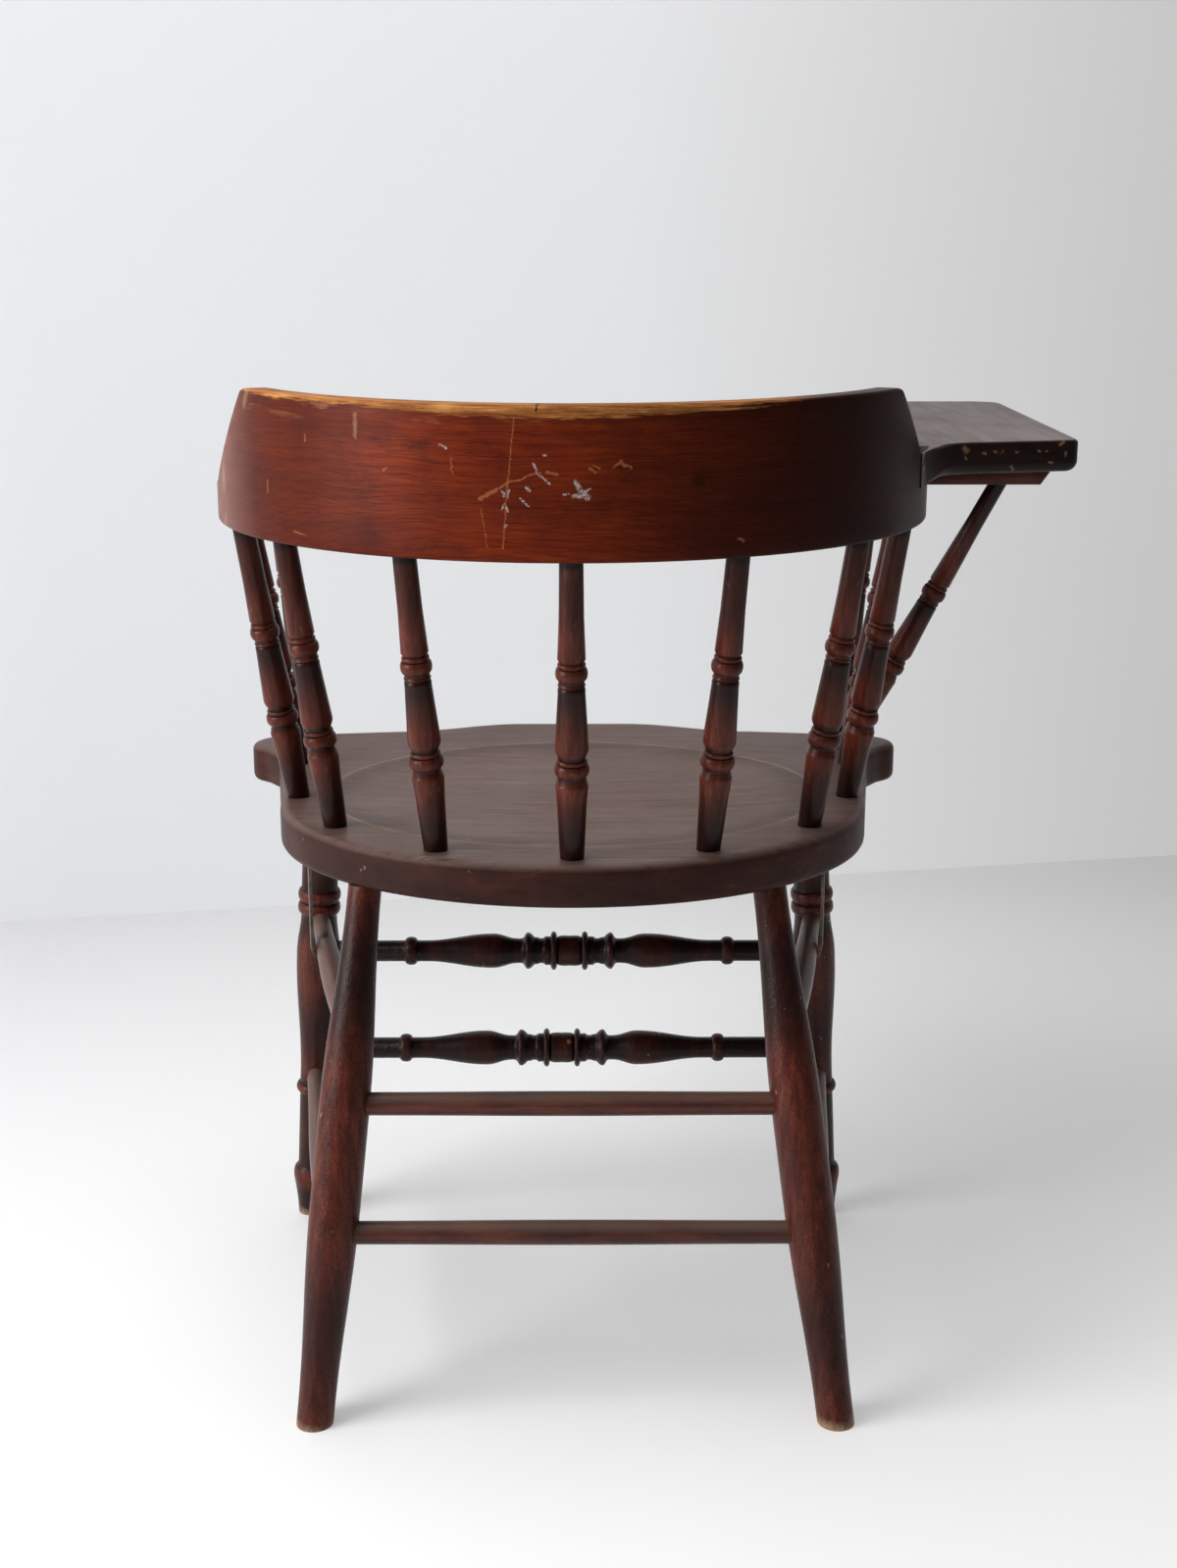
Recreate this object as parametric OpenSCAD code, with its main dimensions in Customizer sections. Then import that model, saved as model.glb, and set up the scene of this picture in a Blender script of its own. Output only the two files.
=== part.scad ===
// Tablet-arm captain's chair: a solid seat on four splayed legs, a bent back rail that
// runs round into both arms on turned spindles, and a writing tablet over the right arm.
// +Z is up and the sitter faces -Y. Places are given as [out, forward, height], where
// out is measured from the middle plane and forward from the foot of the middle spindle.

/* [Seat] */
// Height of the seat's top face above the floor
seat_h = 435; // [420:1:460]
// Thickness of the seat board
seat_t = 33; // [30:1:40]
// Half the width of the seat where its round back meets its sides
seat_half_w = 241.5; // [236:0.5:250]
// Depth of the seat's round back, from its rear edge to its widest line
seat_back_depth = 206; // [195:1:215]
// How far the seat's edge stands behind the foot of the middle spindle
seat_behind = 24; // [20:1:28]
// Forward place of the notches behind the seat's ears
notch_at = 325; // [315:1:330]
// How far the sides flare out between the round back and the notches
side_flare = 21.5; // [15:0.5:25]
// Half the width of the seat across its ears
ear_half_w = 295; // [290:1:300]
// Radius of the rounded ears
ear_r = 28; // [24:1:30]
// Forward place of the middle of the ears
ear_at = 378; // [376:1:384]
// Forward place of the front edge beside the pommel
front_at = 424; // [420:1:430]
// How far the pommel in the middle of the front edge bulges forward
pommel_bulge = 33; // [20:1:40]
// Half the width of the pommel's flat front
pommel_flat = 50; // [35:1:60]
// Half the width of the pommel with its blends
pommel_half_w = 165; // [140:1:180]
// Depth of the hollow scooped in the seat
dish_d = 8; // [4:1:11]
// Half the width of the hollow
dish_half_w = 200; // [180:1:205]
// Half the depth of the hollow, front to back
dish_half_l = 169; // [150:1:172]
// Forward place of the middle of the hollow
dish_at = 202; // [196:1:208]

/* [Back rail] */
// Height of the rail's underside above the seat
rail_rise = 227.4; // [200:0.1:250]
// Thickness of the rail
rail_t = 21; // [20:0.5:26]
// Half the width over the middle line of the rail, at its widest
rail_half_w = 282.5; // [276:0.5:288]
// Depth of the rail's round back along its middle line
rail_depth = 300.5; // [292:0.5:310]
// Forward place where the rail is widest
rail_wide_at = 263; // [258:1:272]
// Length of the quarter ellipse that the arms follow as they draw in
arm_draw = 480; // [420:10:800]
// Forward place of the middle of the rounded arm ends
arm_end_at = 419.5; // [415:0.5:430]
// Height of the crest, from the rail's underside to its top
crest_h = 111.5; // [90:0.1:120]
// How far the crest's top sags in its middle
crest_hollow = 2.2; // [0:0.1:5]
// Height of the arms, from their underside to their top
arm_h = 30.6; // [28:0.1:42]
// Forward place where the crest begins to dip to the arms
dip_from = 107; // [95:1:125]
// Forward place where the dip ends and the arms run level
dip_to = 202; // [190:1:225]

/* [Spindles] */
// Diameter of the spindles where they stand on the seat
foot_d = 18; // [16:0.5:20]
// Diameter of the spindles under the rail
top_d = 17.2; // [15:0.1:18]
// Length of a spindle from its foot to its lower bead
lower_bead_at = 72.25; // [68:0.25:78]
// Length of a spindle from its foot to its upper bead
upper_bead_at = 147; // [142:0.5:152]
// Diameter of the lower bead
lower_bead_d = 26.2; // [25.4:0.1:28]
// Diameter of the upper bead
upper_bead_d = 23.7; // [22:0.1:26]
// Diameter of the spindle tenons
pin_d = 11; // [8:0.5:12]
// Length of the spindle tenons
pin_l = 15; // [10:1:16]
// Distance of the back spindles' feet from the seat's edge
spindle_inset = 25; // [22:0.5:30]
// Distance of the end spindles' feet from the seat's edge
end_inset = 14; // [12:0.5:18]
// Distance of the rear arm spindles' feet from the seat's edge
arm_inset = 16.5; // [14:0.5:22]
// Forward place of the rear arm spindles' feet
arm_post_at = 296; // [285:1:305]
// Forward place of the front arm spindles' feet
arm_front_at = 393; // [385:1:396]
// Distance of the front arm spindles' feet from the middle plane
arm_front_out = 240; // [235:1:250]
// How far forward the arm spindles lean
arm_lean = 10; // [0:1:14]

/* [Legs] */
// Distance of the back legs' feet from the middle plane
back_foot_out = 200.5; // [190:0.5:210]
// How far the back legs' feet stand behind the middle spindle's foot
back_foot_behind = 60; // [40:1:75]
// Distance of the back legs' tops from the middle plane
back_top_out = 155.5; // [145:0.5:165]
// Forward place of the back legs' tops
back_top_at = 45; // [40:1:60]
// Diameter of the back legs' feet
back_foot_d = 28.5; // [26:0.5:32]
// Diameter of the back legs at their thickest
back_leg_d = 39; // [36:0.5:42]
// Diameter of the back legs under the seat
back_top_d = 26; // [24:0.5:28]
// Distance of the front legs' feet from the middle plane
front_foot_out = 239; // [230:1:250]
// Forward place of the front legs' feet
front_foot_at = 307; // [300:1:320]
// Distance of the front legs' tops from the middle plane
front_top_out = 215.5; // [210:0.5:220]
// Forward place of the front legs' tops
front_top_at = 290; // [285:1:300]
// Diameter of the front legs under the seat
front_neck_d = 32; // [30:0.5:35]
// Diameter of the front legs at their swell
front_swell_d = 38.5; // [36:0.5:41]
// Diameter of the front legs' slender shaft
front_shaft_d = 27.5; // [26:0.5:30]
// Height of the middle of the front legs' two beads
front_beads_h = 310; // [306:1:320]
// How far both front legs stand towards the sitter's left
front_legs_shift = 7; // [0:0.5:10]
// How far the tops of both back legs stand towards the sitter's left
back_tops_shift = 4; // [0:0.5:8]
// How far the feet of both back legs stand towards the sitter's right
back_feet_shift = 2; // [0:0.5:6]
// Diameter of the leg tenons
leg_pin_d = 20; // [16:1:24]
// Length of the leg tenons
leg_pin_l = 17; // [12:1:18]

/* [Stretchers] */
// Height of the upper front stretcher
front_upper_h = 260; // [255:1:268]
// Height of the lower front stretcher
front_lower_h = 165; // [160:1:185]
// How far the upper front stretcher's turnings stand towards the sitter's right
front_upper_shift = 3; // [0:0.5:6]
// How far the lower front stretcher's turnings stand towards the sitter's left
front_lower_shift = 4; // [0:0.5:6]
// Diameter of the front stretchers' ends
front_end_d = 19; // [17:0.5:21]
// Height of the upper back stretcher
back_upper_h = 237; // [215:1:245]
// Height of the lower back stretcher
back_lower_h = 141; // [140:1:180]
// Diameter of the back stretchers' ends
back_end_d = 18; // [16:0.5:19]
// Diameter of the back stretchers at their middle
back_mid_d = 19.2; // [18:0.1:23]
// Heights of the upper side stretchers' front and back ends
side_upper_h = [295, 279];
// Heights of the lower side stretchers' front and back ends
side_lower_h = [143, 117];
// Diameter of the side stretchers' ends
side_end_d = 16.4; // [14:0.1:18]
// Diameter of the side stretchers at their middle
side_mid_d = 20.5; // [18:0.1:24]
// How far short of a leg's middle line a stretcher ends
end_gap = 5; // [4:0.5:7]

/* [Tablet] */
// Thickness of the tablet
tablet_t = 27; // [22:0.5:30]
// Distance of the tablet's outermost edge from the middle plane
tablet_reach = 442; // [430:1:470]
// Distance of the tablet's inner edge from the middle plane
tablet_inner = 190; // [170:1:230]
// Forward place of the tablet's front edge
tablet_front = 722; // [650:1:740]
// Forward place of the tablet's rear edge over the arm
tablet_rear = 215; // [205:1:235]
// Outer rear corner of the tablet
tablet_corner = [421, 268];
// Where the straight rear edge bends into the horn along the arm
horn_root = [317, 240];
// Where the horn's tip meets the outside of the arm
horn_tip = [282, 166];
// Radius of the tablet's front corners
tablet_r = 30; // [15:1:60]
// Thickness of the cleat under the tablet
cleat_t = 13; // [12:0.5:20]
// Forward places of the cleat's rear and front faces
cleat_span = [292, 330];
// Distance of the cleat's outer end from the middle plane
cleat_reach = 408; // [395:1:420]
// How far the cleat's outer end slopes in towards its underside
cleat_bevel = 9; // [0:1:15]
// Foot of the brace on the seat
brace_foot = [245, 352];
// Top of the brace under the cleat
brace_top = [365, 305];
// Length of the brace from its foot to its lower bead
brace_lower_bead_at = 90; // [80:1:100]
// Length of the brace from its foot to its upper bead
brace_upper_bead_at = 166; // [150:1:185]
// Thickness of the brace beside that of a spindle
brace_slim = 0.91; // [0.8:0.01:1]
// Diameter of the brace under the cleat
brace_top_d = 14.2; // [12:0.1:16]
// Diameter of the brace tenons
brace_pin_d = 9; // [7:0.5:10]
// Length of the brace tenons
brace_pin_l = 11; // [8:1:12]

/* [Iron hangers] */
// Forward place of the iron hangers
hanger_at = 220; // [200:1:240]
// Width of the iron strap
strap_w = 13; // [8:1:16]
// Thickness of the iron strap
strap_t = 2.4; // [2:0.2:4]
// Clearance between the hooked strap and its stretcher
strap_clear = 0.8; // [0.6:0.1:1.5]
// Length of the foot screwed under the seat
strap_foot_l = 24; // [20:1:35]
// Diameter of the screw heads
screw_head_d = 8; // [6:0.5:9]
// Height of the screw heads
screw_head_h = 2; // [1:0.5:3]
// Diameter of the screw shanks
screw_d = 4; // [3:0.5:5]
// Length of the screws in the seat
screw_l = 14; // [8:1:20]

/* [Hidden] */
$fn = 48;

// The sitter's left is +X and the tablet's side, the sitter's right, is -X.
left = 1;
right = -1;
stain = [0.28, 0.14, 0.11];
warm_stain = [0.42, 0.17, 0.1];
dull_stain = [0.3, 0.22, 0.2];
old_iron = [0.36, 0.32, 0.29];

seat_under = seat_h - seat_t;
seat_wide_at = seat_back_depth - seat_behind;
rail_under = seat_h + rail_rise;
arm_top = rail_under + arm_h;
rail_outer_w = rail_half_w + rail_t / 2;
back_foot_reach = back_foot_behind + back_foot_d / 2;

// The floor point under the middle of the whole chair, tablet included.
middle_x = (ear_half_w - tablet_reach) / 2;
middle_y = (back_foot_reach - tablet_front) / 2;

// A step in degrees for curved outlines, and a reach that is past every piece.
curve_step = 3;
far = 1200;

function place(side, out, forward, h) = [side * out, -forward, h];
function toward(a, b, d) = a + (b - a) * d / norm(b - a);
function arc(middle, r, from, to, steps) =
    [for (i = [0:steps]) let (a = from + (to - from) * i / steps)
        middle + r * [cos(a), sin(a)]];
function ease(t) = (1 - cos(180 * t)) / 2;
function mirrored(points) =
    [for (i = [len(points) - 1:-1:0]) if (points[i].x > 0.01) [-points[i].x, points[i].y]];

// ---- curves of a turned profile, as [radius, distance along the piece] ----

// A rounded bead that stands on a base diameter.
function bead(at, base_d, peak_d, w) =
    [for (a = [-90:30:90]) [base_d / 2 + (peak_d - base_d) / 2 * cos(a), at + w / 2 * sin(a)]];
// A blend from one diameter to another that is level at both ends.
function blend(from, from_d, to, to_d, steps = 6) =
    [for (i = [0:steps]) let (t = i / steps)
        [(from_d + (to_d - from_d) * ease(t)) / 2, from + (to - from) * t]];
// A full curve that is level only at its thicker end.
function belly(from, from_d, to, to_d, steps = 6) =
    [for (i = [0:steps]) let (t = i / steps, s = to_d > from_d ? sin(90 * t) : 1 - cos(90 * t))
        [(from_d + (to_d - from_d) * s) / 2, from + (to - from) * t]];
function flipped(profile) =
    [for (i = [len(profile) - 1:-1:0]) [profile[i].x, -profile[i].y]];

// The group of turnings between two tapering sections of a spindle, from the shoulder
// below to the shoulder above, about a bead at the given place.
function bead_group(at, peak_d, below_d, above_d, chamfer) = concat(
    [[below_d / 2 - 0.4, at - 14.5], [below_d / 2, at - 11.5], [below_d / 2 - 0.8, at - 9.8]],
    [[peak_d * 0.4, at - 8]],
    bead(at, peak_d * 0.84, peak_d, 8),
    bead(at + 6, peak_d * 0.8, peak_d * 0.87, 3.6),
    [[peak_d * 0.4, at + 8.6]],
    [[above_d / 2, at + 8.6 + chamfer]]
);

// A spindle's profile, which runs a little past both ends so that it can be cut flush.
// Its sections taper evenly between the bead groups, the lowest with a slight swell.
overrun = 10;
foot_swell = 2;
function spindle_profile(l, low, up, slim, head_d) = concat(
    [[foot_d / 2 * slim - foot_swell * overrun / low, -overrun]],
    [[foot_d / 2 * slim + foot_swell, low * 0.55]],
    bead_group(low, lower_bead_d * slim, 24.4 * slim, 25 * slim, 9),
    bead_group(up, upper_bead_d * slim, 20.4 * slim, 20.6 * slim, 3),
    [[head_d / 2, l + overrun]]
);

// A back leg's profile: a plain baluster that is thickest below its middle.
function back_leg_profile(l) = concat(
    [[back_foot_d / 2, -overrun]],
    blend(overrun, back_foot_d, 165, back_leg_d, 10),
    blend(245, back_leg_d, l - overrun, back_top_d, 10),
    [[back_top_d / 2, l + overrun]]
);

// A front leg's profile: a peg foot, a slender shaft with a ring, a long swell and a
// pair of beads under the plain neck.
foot_bulb_h = 42;
ankle_ring_h = 128;
swell_h = 255;
bead_pitch = 12;
function front_leg_profile(l) = concat(
    [[12.1, -overrun], [13.6, 12], [15.6, 24]],
    belly(28, 32.4, foot_bulb_h - 2, 36, 3),
    [[17.2, foot_bulb_h + 3], [15, foot_bulb_h + 6], [13.2, foot_bulb_h + 9]],
    [[front_shaft_d / 2, foot_bulb_h + 16], [front_shaft_d / 2, ankle_ring_h - 6]],
    bead(ankle_ring_h, front_shaft_d, 34, 9),
    [[front_shaft_d / 2, ankle_ring_h + 8]],
    blend(ankle_ring_h + 18, front_shaft_d, swell_h, front_swell_d, 10),
    blend(swell_h + 6, front_swell_d, front_beads_h - 13, front_neck_d, 5),
    bead(front_beads_h - bead_pitch / 2, front_neck_d + 1, 38, 10.5),
    bead(front_beads_h + bead_pitch / 2, front_neck_d + 1, 38, 10.5),
    [[front_neck_d / 2, front_beads_h + 13], [front_neck_d / 2, l + overrun]]
);

// Half of a front stretcher's profile, from its middle out to its end: the barrel, a
// ring, two small steps, a sharp ring, the neck, the swell and the collar.
function front_stretcher_half(half_l) = concat(
    [[13.6, 0.5], [13.75, 6], [13.3, 9.3], [12.2, 10.8]],
    bead(14, 26, 35, 5.6),
    [[13, 18], [12.9, 22], [11.6, 23], [11.2, 26], [12.2, 29.4]],
    [[12.4, 31.2], [15.4, 34.4], [16.5, 36.8], [16.2, 38.4], [13.6, 40.4]],
    [[11.4, 42], [11, 44.5]],
    blend(47, 22.4, 68, 31, 6),
    blend(70, 31, 128, front_end_d, 9),
    [[front_end_d / 2, 136]],
    bead(142.7, front_end_d + 1, 25.6, 10.5),
    [[front_end_d / 2, 149], [front_end_d / 2, half_l]]
);

// ---- shared pieces of construction ----

// Everything is placed about the floor point under the middle of the chair.
module placed() {
    translate([-middle_x, -middle_y, 0]) children();
}

// Stands a child, made along +Z, on the first point and aims it at the second. A round
// child's start line is turned to the side that it doesn't lean towards.
side_turn = 90;
module between(from, to) {
    d = to - from;
    translate(from) rotate([0, acos(d.z / norm(d)), atan2(d.y, d.x)])
        rotate([0, 0, side_turn]) children();
}

// A turned solid from its profile.
module turned(profile) {
    first = profile[0];
    last = profile[len(profile) - 1];
    rotate_extrude() polygon(concat([[0, first.y]], profile, [[0, last.y]]));
}

// The space between two heights.
module slab(low, high) {
    translate([-far, -far, low]) cube([2 * far, 2 * far, high - low]);
}

// A round tenon on the middle line of a piece, from one length along it to another.
module pin(from, to, start, end, d) {
    between(from, to) translate([0, 0, start]) cylinder(h = end - start, d = d);
}

// ---- the seat's outline ----

function seat_edge(t) = [seat_half_w * sin(t), seat_wide_at - seat_back_depth * cos(t)];
function seat_inward(t) =
    let (n = [sin(t) / seat_half_w, -cos(t) / seat_back_depth]) -n / norm(n);
function side_edge(forward) =
    seat_half_w + side_flare * pow((forward - seat_wide_at) / (notch_at - seat_wide_at), 0.85);

ear_middle = [ear_half_w - ear_r, ear_at];
pommel_front = front_at + pommel_bulge;

// The left half of the outline, from the middle of the back round to the pommel.
seat_half_outline = concat(
    [for (t = [0:curve_step:90]) seat_edge(t)],
    [for (i = [1:5]) let (v = seat_wide_at + (notch_at - seat_wide_at) * i / 5) [side_edge(v), v]],
    [[side_edge(notch_at) + 1.5, notch_at + 6]],
    arc(ear_middle, ear_r, -50, 70, 12),
    [[ear_middle.x - ear_r * 0.6, front_at - 12]],
    [for (i = [8:-1:0]) let (t = i / 8)
        [pommel_flat + (pommel_half_w - pommel_flat) * t, pommel_front - pommel_bulge * ease(t)]]
);

// ---- the rail's plan ----

function rail_middle(t) = [rail_half_w * sin(t), rail_wide_at - rail_depth * cos(t)];
function rail_normal(t) = let (n = [sin(t) / rail_half_w, -cos(t) / rail_depth]) n / norm(n);
function arm_turn(forward) = asin((forward - rail_wide_at) / arm_draw);
function arm_middle(q) = [rail_half_w * cos(q), rail_wide_at + arm_draw * sin(q)];
function arm_normal(q) = let (n = [cos(q) / rail_half_w, sin(q) / arm_draw]) n / norm(n);
arm_end_turn = arm_turn(arm_end_at);

// Half of the rail's curve at a distance outside its middle line, from the middle of the
// back to the arm's end.
function rail_half(off) = concat(
    [for (t = [0:curve_step:90]) rail_middle(t) + off * rail_normal(t)],
    [for (i = [1:4]) let (q = arm_end_turn * i / 4) arm_middle(q) + off * arm_normal(q)]
);
function rail_curve(off) = let (half = rail_half(off)) concat(mirrored(half), half);
function reversed(points) = [for (i = [len(points) - 1:-1:0]) points[i]];

// ---- where the pieces stand ----

// Turn of each back spindle round the seat and round the rail, from the sitter's left.
foot_turns = [90, 59, 28, 0, -28, -59, -90];
top_turns = [65.5, 49.7, 25, 0, -25, -49.7, -65.5];
foot_insets = [end_inset, spindle_inset, spindle_inset, seat_behind,
    spindle_inset, spindle_inset, end_inset];

function raise(point, h) = [point.x, -point.y, h];
function spindle_foot(i) =
    raise(seat_edge(foot_turns[i - 1]) + foot_insets[i - 1] * seat_inward(foot_turns[i - 1]), seat_h);
function spindle_top(i) = raise(rail_middle(top_turns[i - 1]), rail_under);

// The arm spindles stand at the rear and at the front of each arm.
rear = 0;
front = 1;
arm_feet = [[side_edge(arm_post_at) - arm_inset, arm_post_at], [arm_front_out, arm_front_at]];
function arm_foot(side, which) = place(side, arm_feet[which].x, arm_feet[which].y, seat_h);
function arm_spindle_top(side, which) =
    let (p = arm_middle(arm_turn(arm_feet[which].y + arm_lean))) place(side, p.x, p.y, rail_under);

function along(a, b, t) = a + (b - a) * t;
function leg_place(side, shift, out, forward, h) = [shift + side * out, -forward, h];
function back_leg_at(side, h) =
    let (t = h / seat_under)
        leg_place(side, along(-back_feet_shift, back_tops_shift, t),
            along(back_foot_out, back_top_out, t), along(-back_foot_behind, back_top_at, t), h);
function front_leg_at(side, h) =
    let (t = h / seat_under)
        leg_place(side, front_legs_shift,
            along(front_foot_out, front_top_out, t), along(front_foot_at, front_top_at, t), h);

brace_low = place(right, brace_foot.x, brace_foot.y, seat_h);
cleat_under = arm_top - cleat_t;
brace_high = place(right, brace_top.x, brace_top.y, cleat_under);

// ---- seat ----

module seat_outline() {
    outline = concat(seat_half_outline, mirrored(seat_half_outline));
    mirror([0, 1]) polygon(outline);
}

// The scooped hollow is the foot of a wide barrel that lies across the seat.
module seat_hollow() {
    barrel_r = dish_half_l * dish_half_l / (2 * dish_d) + dish_d / 2;
    bow = dish_d / (dish_half_w * dish_half_w);
    half_w = dish_half_w + 20;
    rim = [for (i = [-12:12]) let (s = half_w * i / 12) [barrel_r - bow * s * s, s]];
    translate([0, -dish_at, seat_h - dish_d + barrel_r]) rotate([0, 90, 0])
        rotate_extrude($fn = 360) polygon(concat([[0, -half_w]], rim, [[0, half_w]]));
}

module seat() {
    color(dull_stain) placed() difference() {
        translate([0, 0, seat_under]) linear_extrude(seat_t) seat_outline();
        seat_hollow();
        for (i = [1:7]) pin(spindle_foot(i), spindle_top(i), -pin_l, 6, pin_d);
        for (side = [left, right]) {
            for (which = [rear, front])
                pin(arm_foot(side, which), arm_spindle_top(side, which), -pin_l, 6, pin_d);
            leg_pin(back_leg_at(side, 0), back_leg_at(side, seat_under), -8);
            leg_pin(front_leg_at(side, 0), front_leg_at(side, seat_under), -8);
            hanger_frame(side) screw_shank();
        }
        pin(brace_low, brace_high, -brace_pin_l, 6, brace_pin_d);
    }
}

// ---- bow rail: the crest and both arms in one bent piece ----

module rail_outer_outline() {
    mirror([0, 1]) polygon(rail_curve(rail_t / 2));
}

module rail_outline() {
    arm_tip = arm_middle(arm_end_turn);
    mirror([0, 1]) {
        polygon(concat(rail_curve(rail_t / 2), reversed(rail_curve(-rail_t / 2))));
        for (side = [left, right]) translate([side * arm_tip.x, arm_tip.y]) circle(d = rail_t);
    }
}

// The rail's height from back to front: hollow crest, dip and level arms. The dip falls
// steeply from the crest's rounded corner and flattens out into the arms.
dip_power = 1.45;
module rail_side() {
    drop = crest_h - arm_h;
    middle = [rail_wide_at - rail_depth, crest_h - crest_hollow];
    shoulder = [middle, [dip_from - 9, crest_h], [dip_from - 3, crest_h - drop * 0.02]];
    curve = [for (i = [1:12]) let (t = i / 12)
        [along(dip_from, dip_to, t), arm_h + drop * pow(1 - t, dip_power)]];
    dip = concat(shoulder, curve);
    ends = [[-far / 2, middle.y], [-far / 2, 0], [far / 2, 0], [far / 2, arm_h]];
    translate([-far / 2, 0, rail_under]) rotate([90, 0, 90])
        linear_extrude(far) mirror([1, 0]) polygon(concat(dip, reversed(ends)));
}

module bow_rail() {
    color(warm_stain) placed() difference() {
        intersection() {
            translate([0, 0, rail_under]) linear_extrude(crest_h) rail_outline();
            rail_side();
        }
        for (i = [1:7]) pin(spindle_top(i), spindle_foot(i), -pin_l, 6, pin_d);
        for (side = [left, right], which = [rear, front])
            pin(arm_spindle_top(side, which), arm_foot(side, which), -pin_l, 6, pin_d);
    }
}

// ---- turned posts ----

// A spindle that is cut flush at the seat and at its top, with a tenon at each end.
module spindle(from, to, pins_d, pins_l, low, up, head_d = top_d, slim = 1) {
    l = norm(to - from);
    intersection() {
        between(from, to) turned(spindle_profile(l, low, up, slim, head_d));
        slab(from.z, to.z);
    }
    pin(from, to, -pins_l, l + pins_l, pins_d);
}

// The back spindles on the sitter's right mirror those on the left.
module back_spindle(i) {
    twin = min(i, 8 - i);
    color(warm_stain) placed() mirror([i > 4 ? 1 : 0, 0, 0])
        spindle(spindle_foot(twin), spindle_top(twin), pin_d, pin_l, lower_bead_at, upper_bead_at);
}

module arm_spindle(side, which) {
    color(warm_stain) placed() mirror([side == right ? 1 : 0, 0, 0])
        spindle(arm_foot(left, which), arm_spindle_top(left, which), pin_d, pin_l,
            lower_bead_at, upper_bead_at);
}

// A leg tenon in the seat, from a length below the seat's underside.
module leg_pin(foot, top, start) {
    l = norm(top - foot);
    pin(foot, top, l + start, l + leg_pin_l, leg_pin_d);
}

// A turned leg that is cut flush with the floor and the seat's underside.
module leg_body(foot, top, profile) {
    intersection() {
        between(foot, top) turned(profile);
        slab(0, seat_under);
    }
    leg_pin(foot, top, -8);
}

// The end of a stretcher in its socket, from inside the leg to clear outside it.
module socket(a, b, d) {
    pin(a, b, end_gap, 45, d);
}

module leg_back(side) {
    foot = back_leg_at(side, 0);
    top = back_leg_at(side, seat_under);
    color(stain) placed() difference() {
        leg_body(foot, top, back_leg_profile(norm(top - foot)));
        for (h = [back_upper_h, back_lower_h])
            socket(back_leg_at(side, h), back_leg_at(-side, h), back_end_d);
        for (ends = [side_upper_h, side_lower_h])
            socket(back_leg_at(side, ends[1]), front_leg_at(side, ends[0]), side_end_d);
    }
}

module leg_front(side) {
    foot = front_leg_at(side, 0);
    top = front_leg_at(side, seat_under);
    color(stain) placed() difference() {
        leg_body(foot, top, front_leg_profile(norm(top - foot)));
        for (h = [front_upper_h, front_lower_h])
            socket(front_leg_at(side, h), front_leg_at(-side, h), front_end_d);
        for (ends = [side_upper_h, side_lower_h])
            socket(front_leg_at(side, ends[0]), back_leg_at(side, ends[1]), side_end_d);
    }
}

// ---- stretchers ----

// The turnings stand a little to one side of the middle between the legs.
module stretcher_front(h, shift) {
    a = front_leg_at(right, h);
    b = front_leg_at(left, h);
    half_l = norm(b - a) / 2 - end_gap;
    color(stain) placed() between(toward((a + b) / 2, b, shift), b) turned(concat(
        flipped(front_stretcher_half(half_l + shift)), front_stretcher_half(half_l - shift)));
}

// A plain rod that thickens gently between its straight ends.
plain_end_l = 26;
function plain_profile(l, end_d, mid_d) = concat(
    [[end_d / 2, 0]],
    blend(plain_end_l, end_d, l / 2 - 4, mid_d, 8),
    blend(l / 2 + 4, mid_d, l - plain_end_l, end_d, 8),
    [[end_d / 2, l]]
);

module plain_stretcher(a, b, end_d, mid_d) {
    start = toward(a, b, end_gap);
    color(stain) placed() between(start, b)
        turned(plain_profile(norm(b - a) - 2 * end_gap, end_d, mid_d));
}

module stretcher_back(h) {
    plain_stretcher(back_leg_at(right, h), back_leg_at(left, h), back_end_d, back_mid_d);
}

module stretcher_side(side, ends) {
    plain_stretcher(front_leg_at(side, ends[0]), back_leg_at(side, ends[1]), side_end_d, side_mid_d);
}

// ---- tablet, cleat and brace ----

// Seen from above, with the horn that runs back along the outside of the arm. Each step
// of the horn is a share of the way to its root, with how far it stands outside that line.
horn_steps = [[0, 0], [0.3, -3.5], [0.69, -5], [0.86, -4.5], [1, 0], [1.08, 9]];
tablet_outline = concat(
    arc([tablet_inner + 18, tablet_rear + 18], 18, 180, 270, 4),
    [[rail_half_w - rail_t, tablet_rear], [rail_half_w - rail_t, horn_tip.y]],
    [for (step = horn_steps) along(horn_tip, horn_root, step[0]) + [step[1], 0]],
    arc(tablet_corner + [-9, 13], 14, -80, -4, 5),
    arc([tablet_reach - tablet_r, tablet_front - tablet_r], tablet_r, 0, 90, 8),
    arc([tablet_inner + tablet_r, tablet_front - tablet_r], tablet_r, 90, 180, 8)
);

module tablet() {
    color(dull_stain) placed() difference() {
        translate([0, 0, arm_top]) rotate([0, 0, 180]) linear_extrude(tablet_t) polygon(tablet_outline);
        translate([0, 0, arm_top - 1]) linear_extrude(tablet_t + 2) intersection() {
            rail_outer_outline();
            translate([-far, -tablet_rear]) square(2 * far);
        }
    }
}

module cleat_section() {
    polygon([[0, 0], [-cleat_reach + cleat_bevel, 0], [-cleat_reach, cleat_t], [0, cleat_t]]);
}

module tablet_cleat() {
    depth = cleat_span[1] - cleat_span[0];
    color(stain) placed() difference() {
        translate([0, -cleat_span[0], cleat_under]) rotate([90, 0, 0])
            linear_extrude(depth) cleat_section();
        translate([0, 0, cleat_under - 1]) linear_extrude(cleat_t + 2) rail_outer_outline();
        pin(brace_high, brace_low, -brace_pin_l, 6, brace_pin_d);
    }
}

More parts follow.
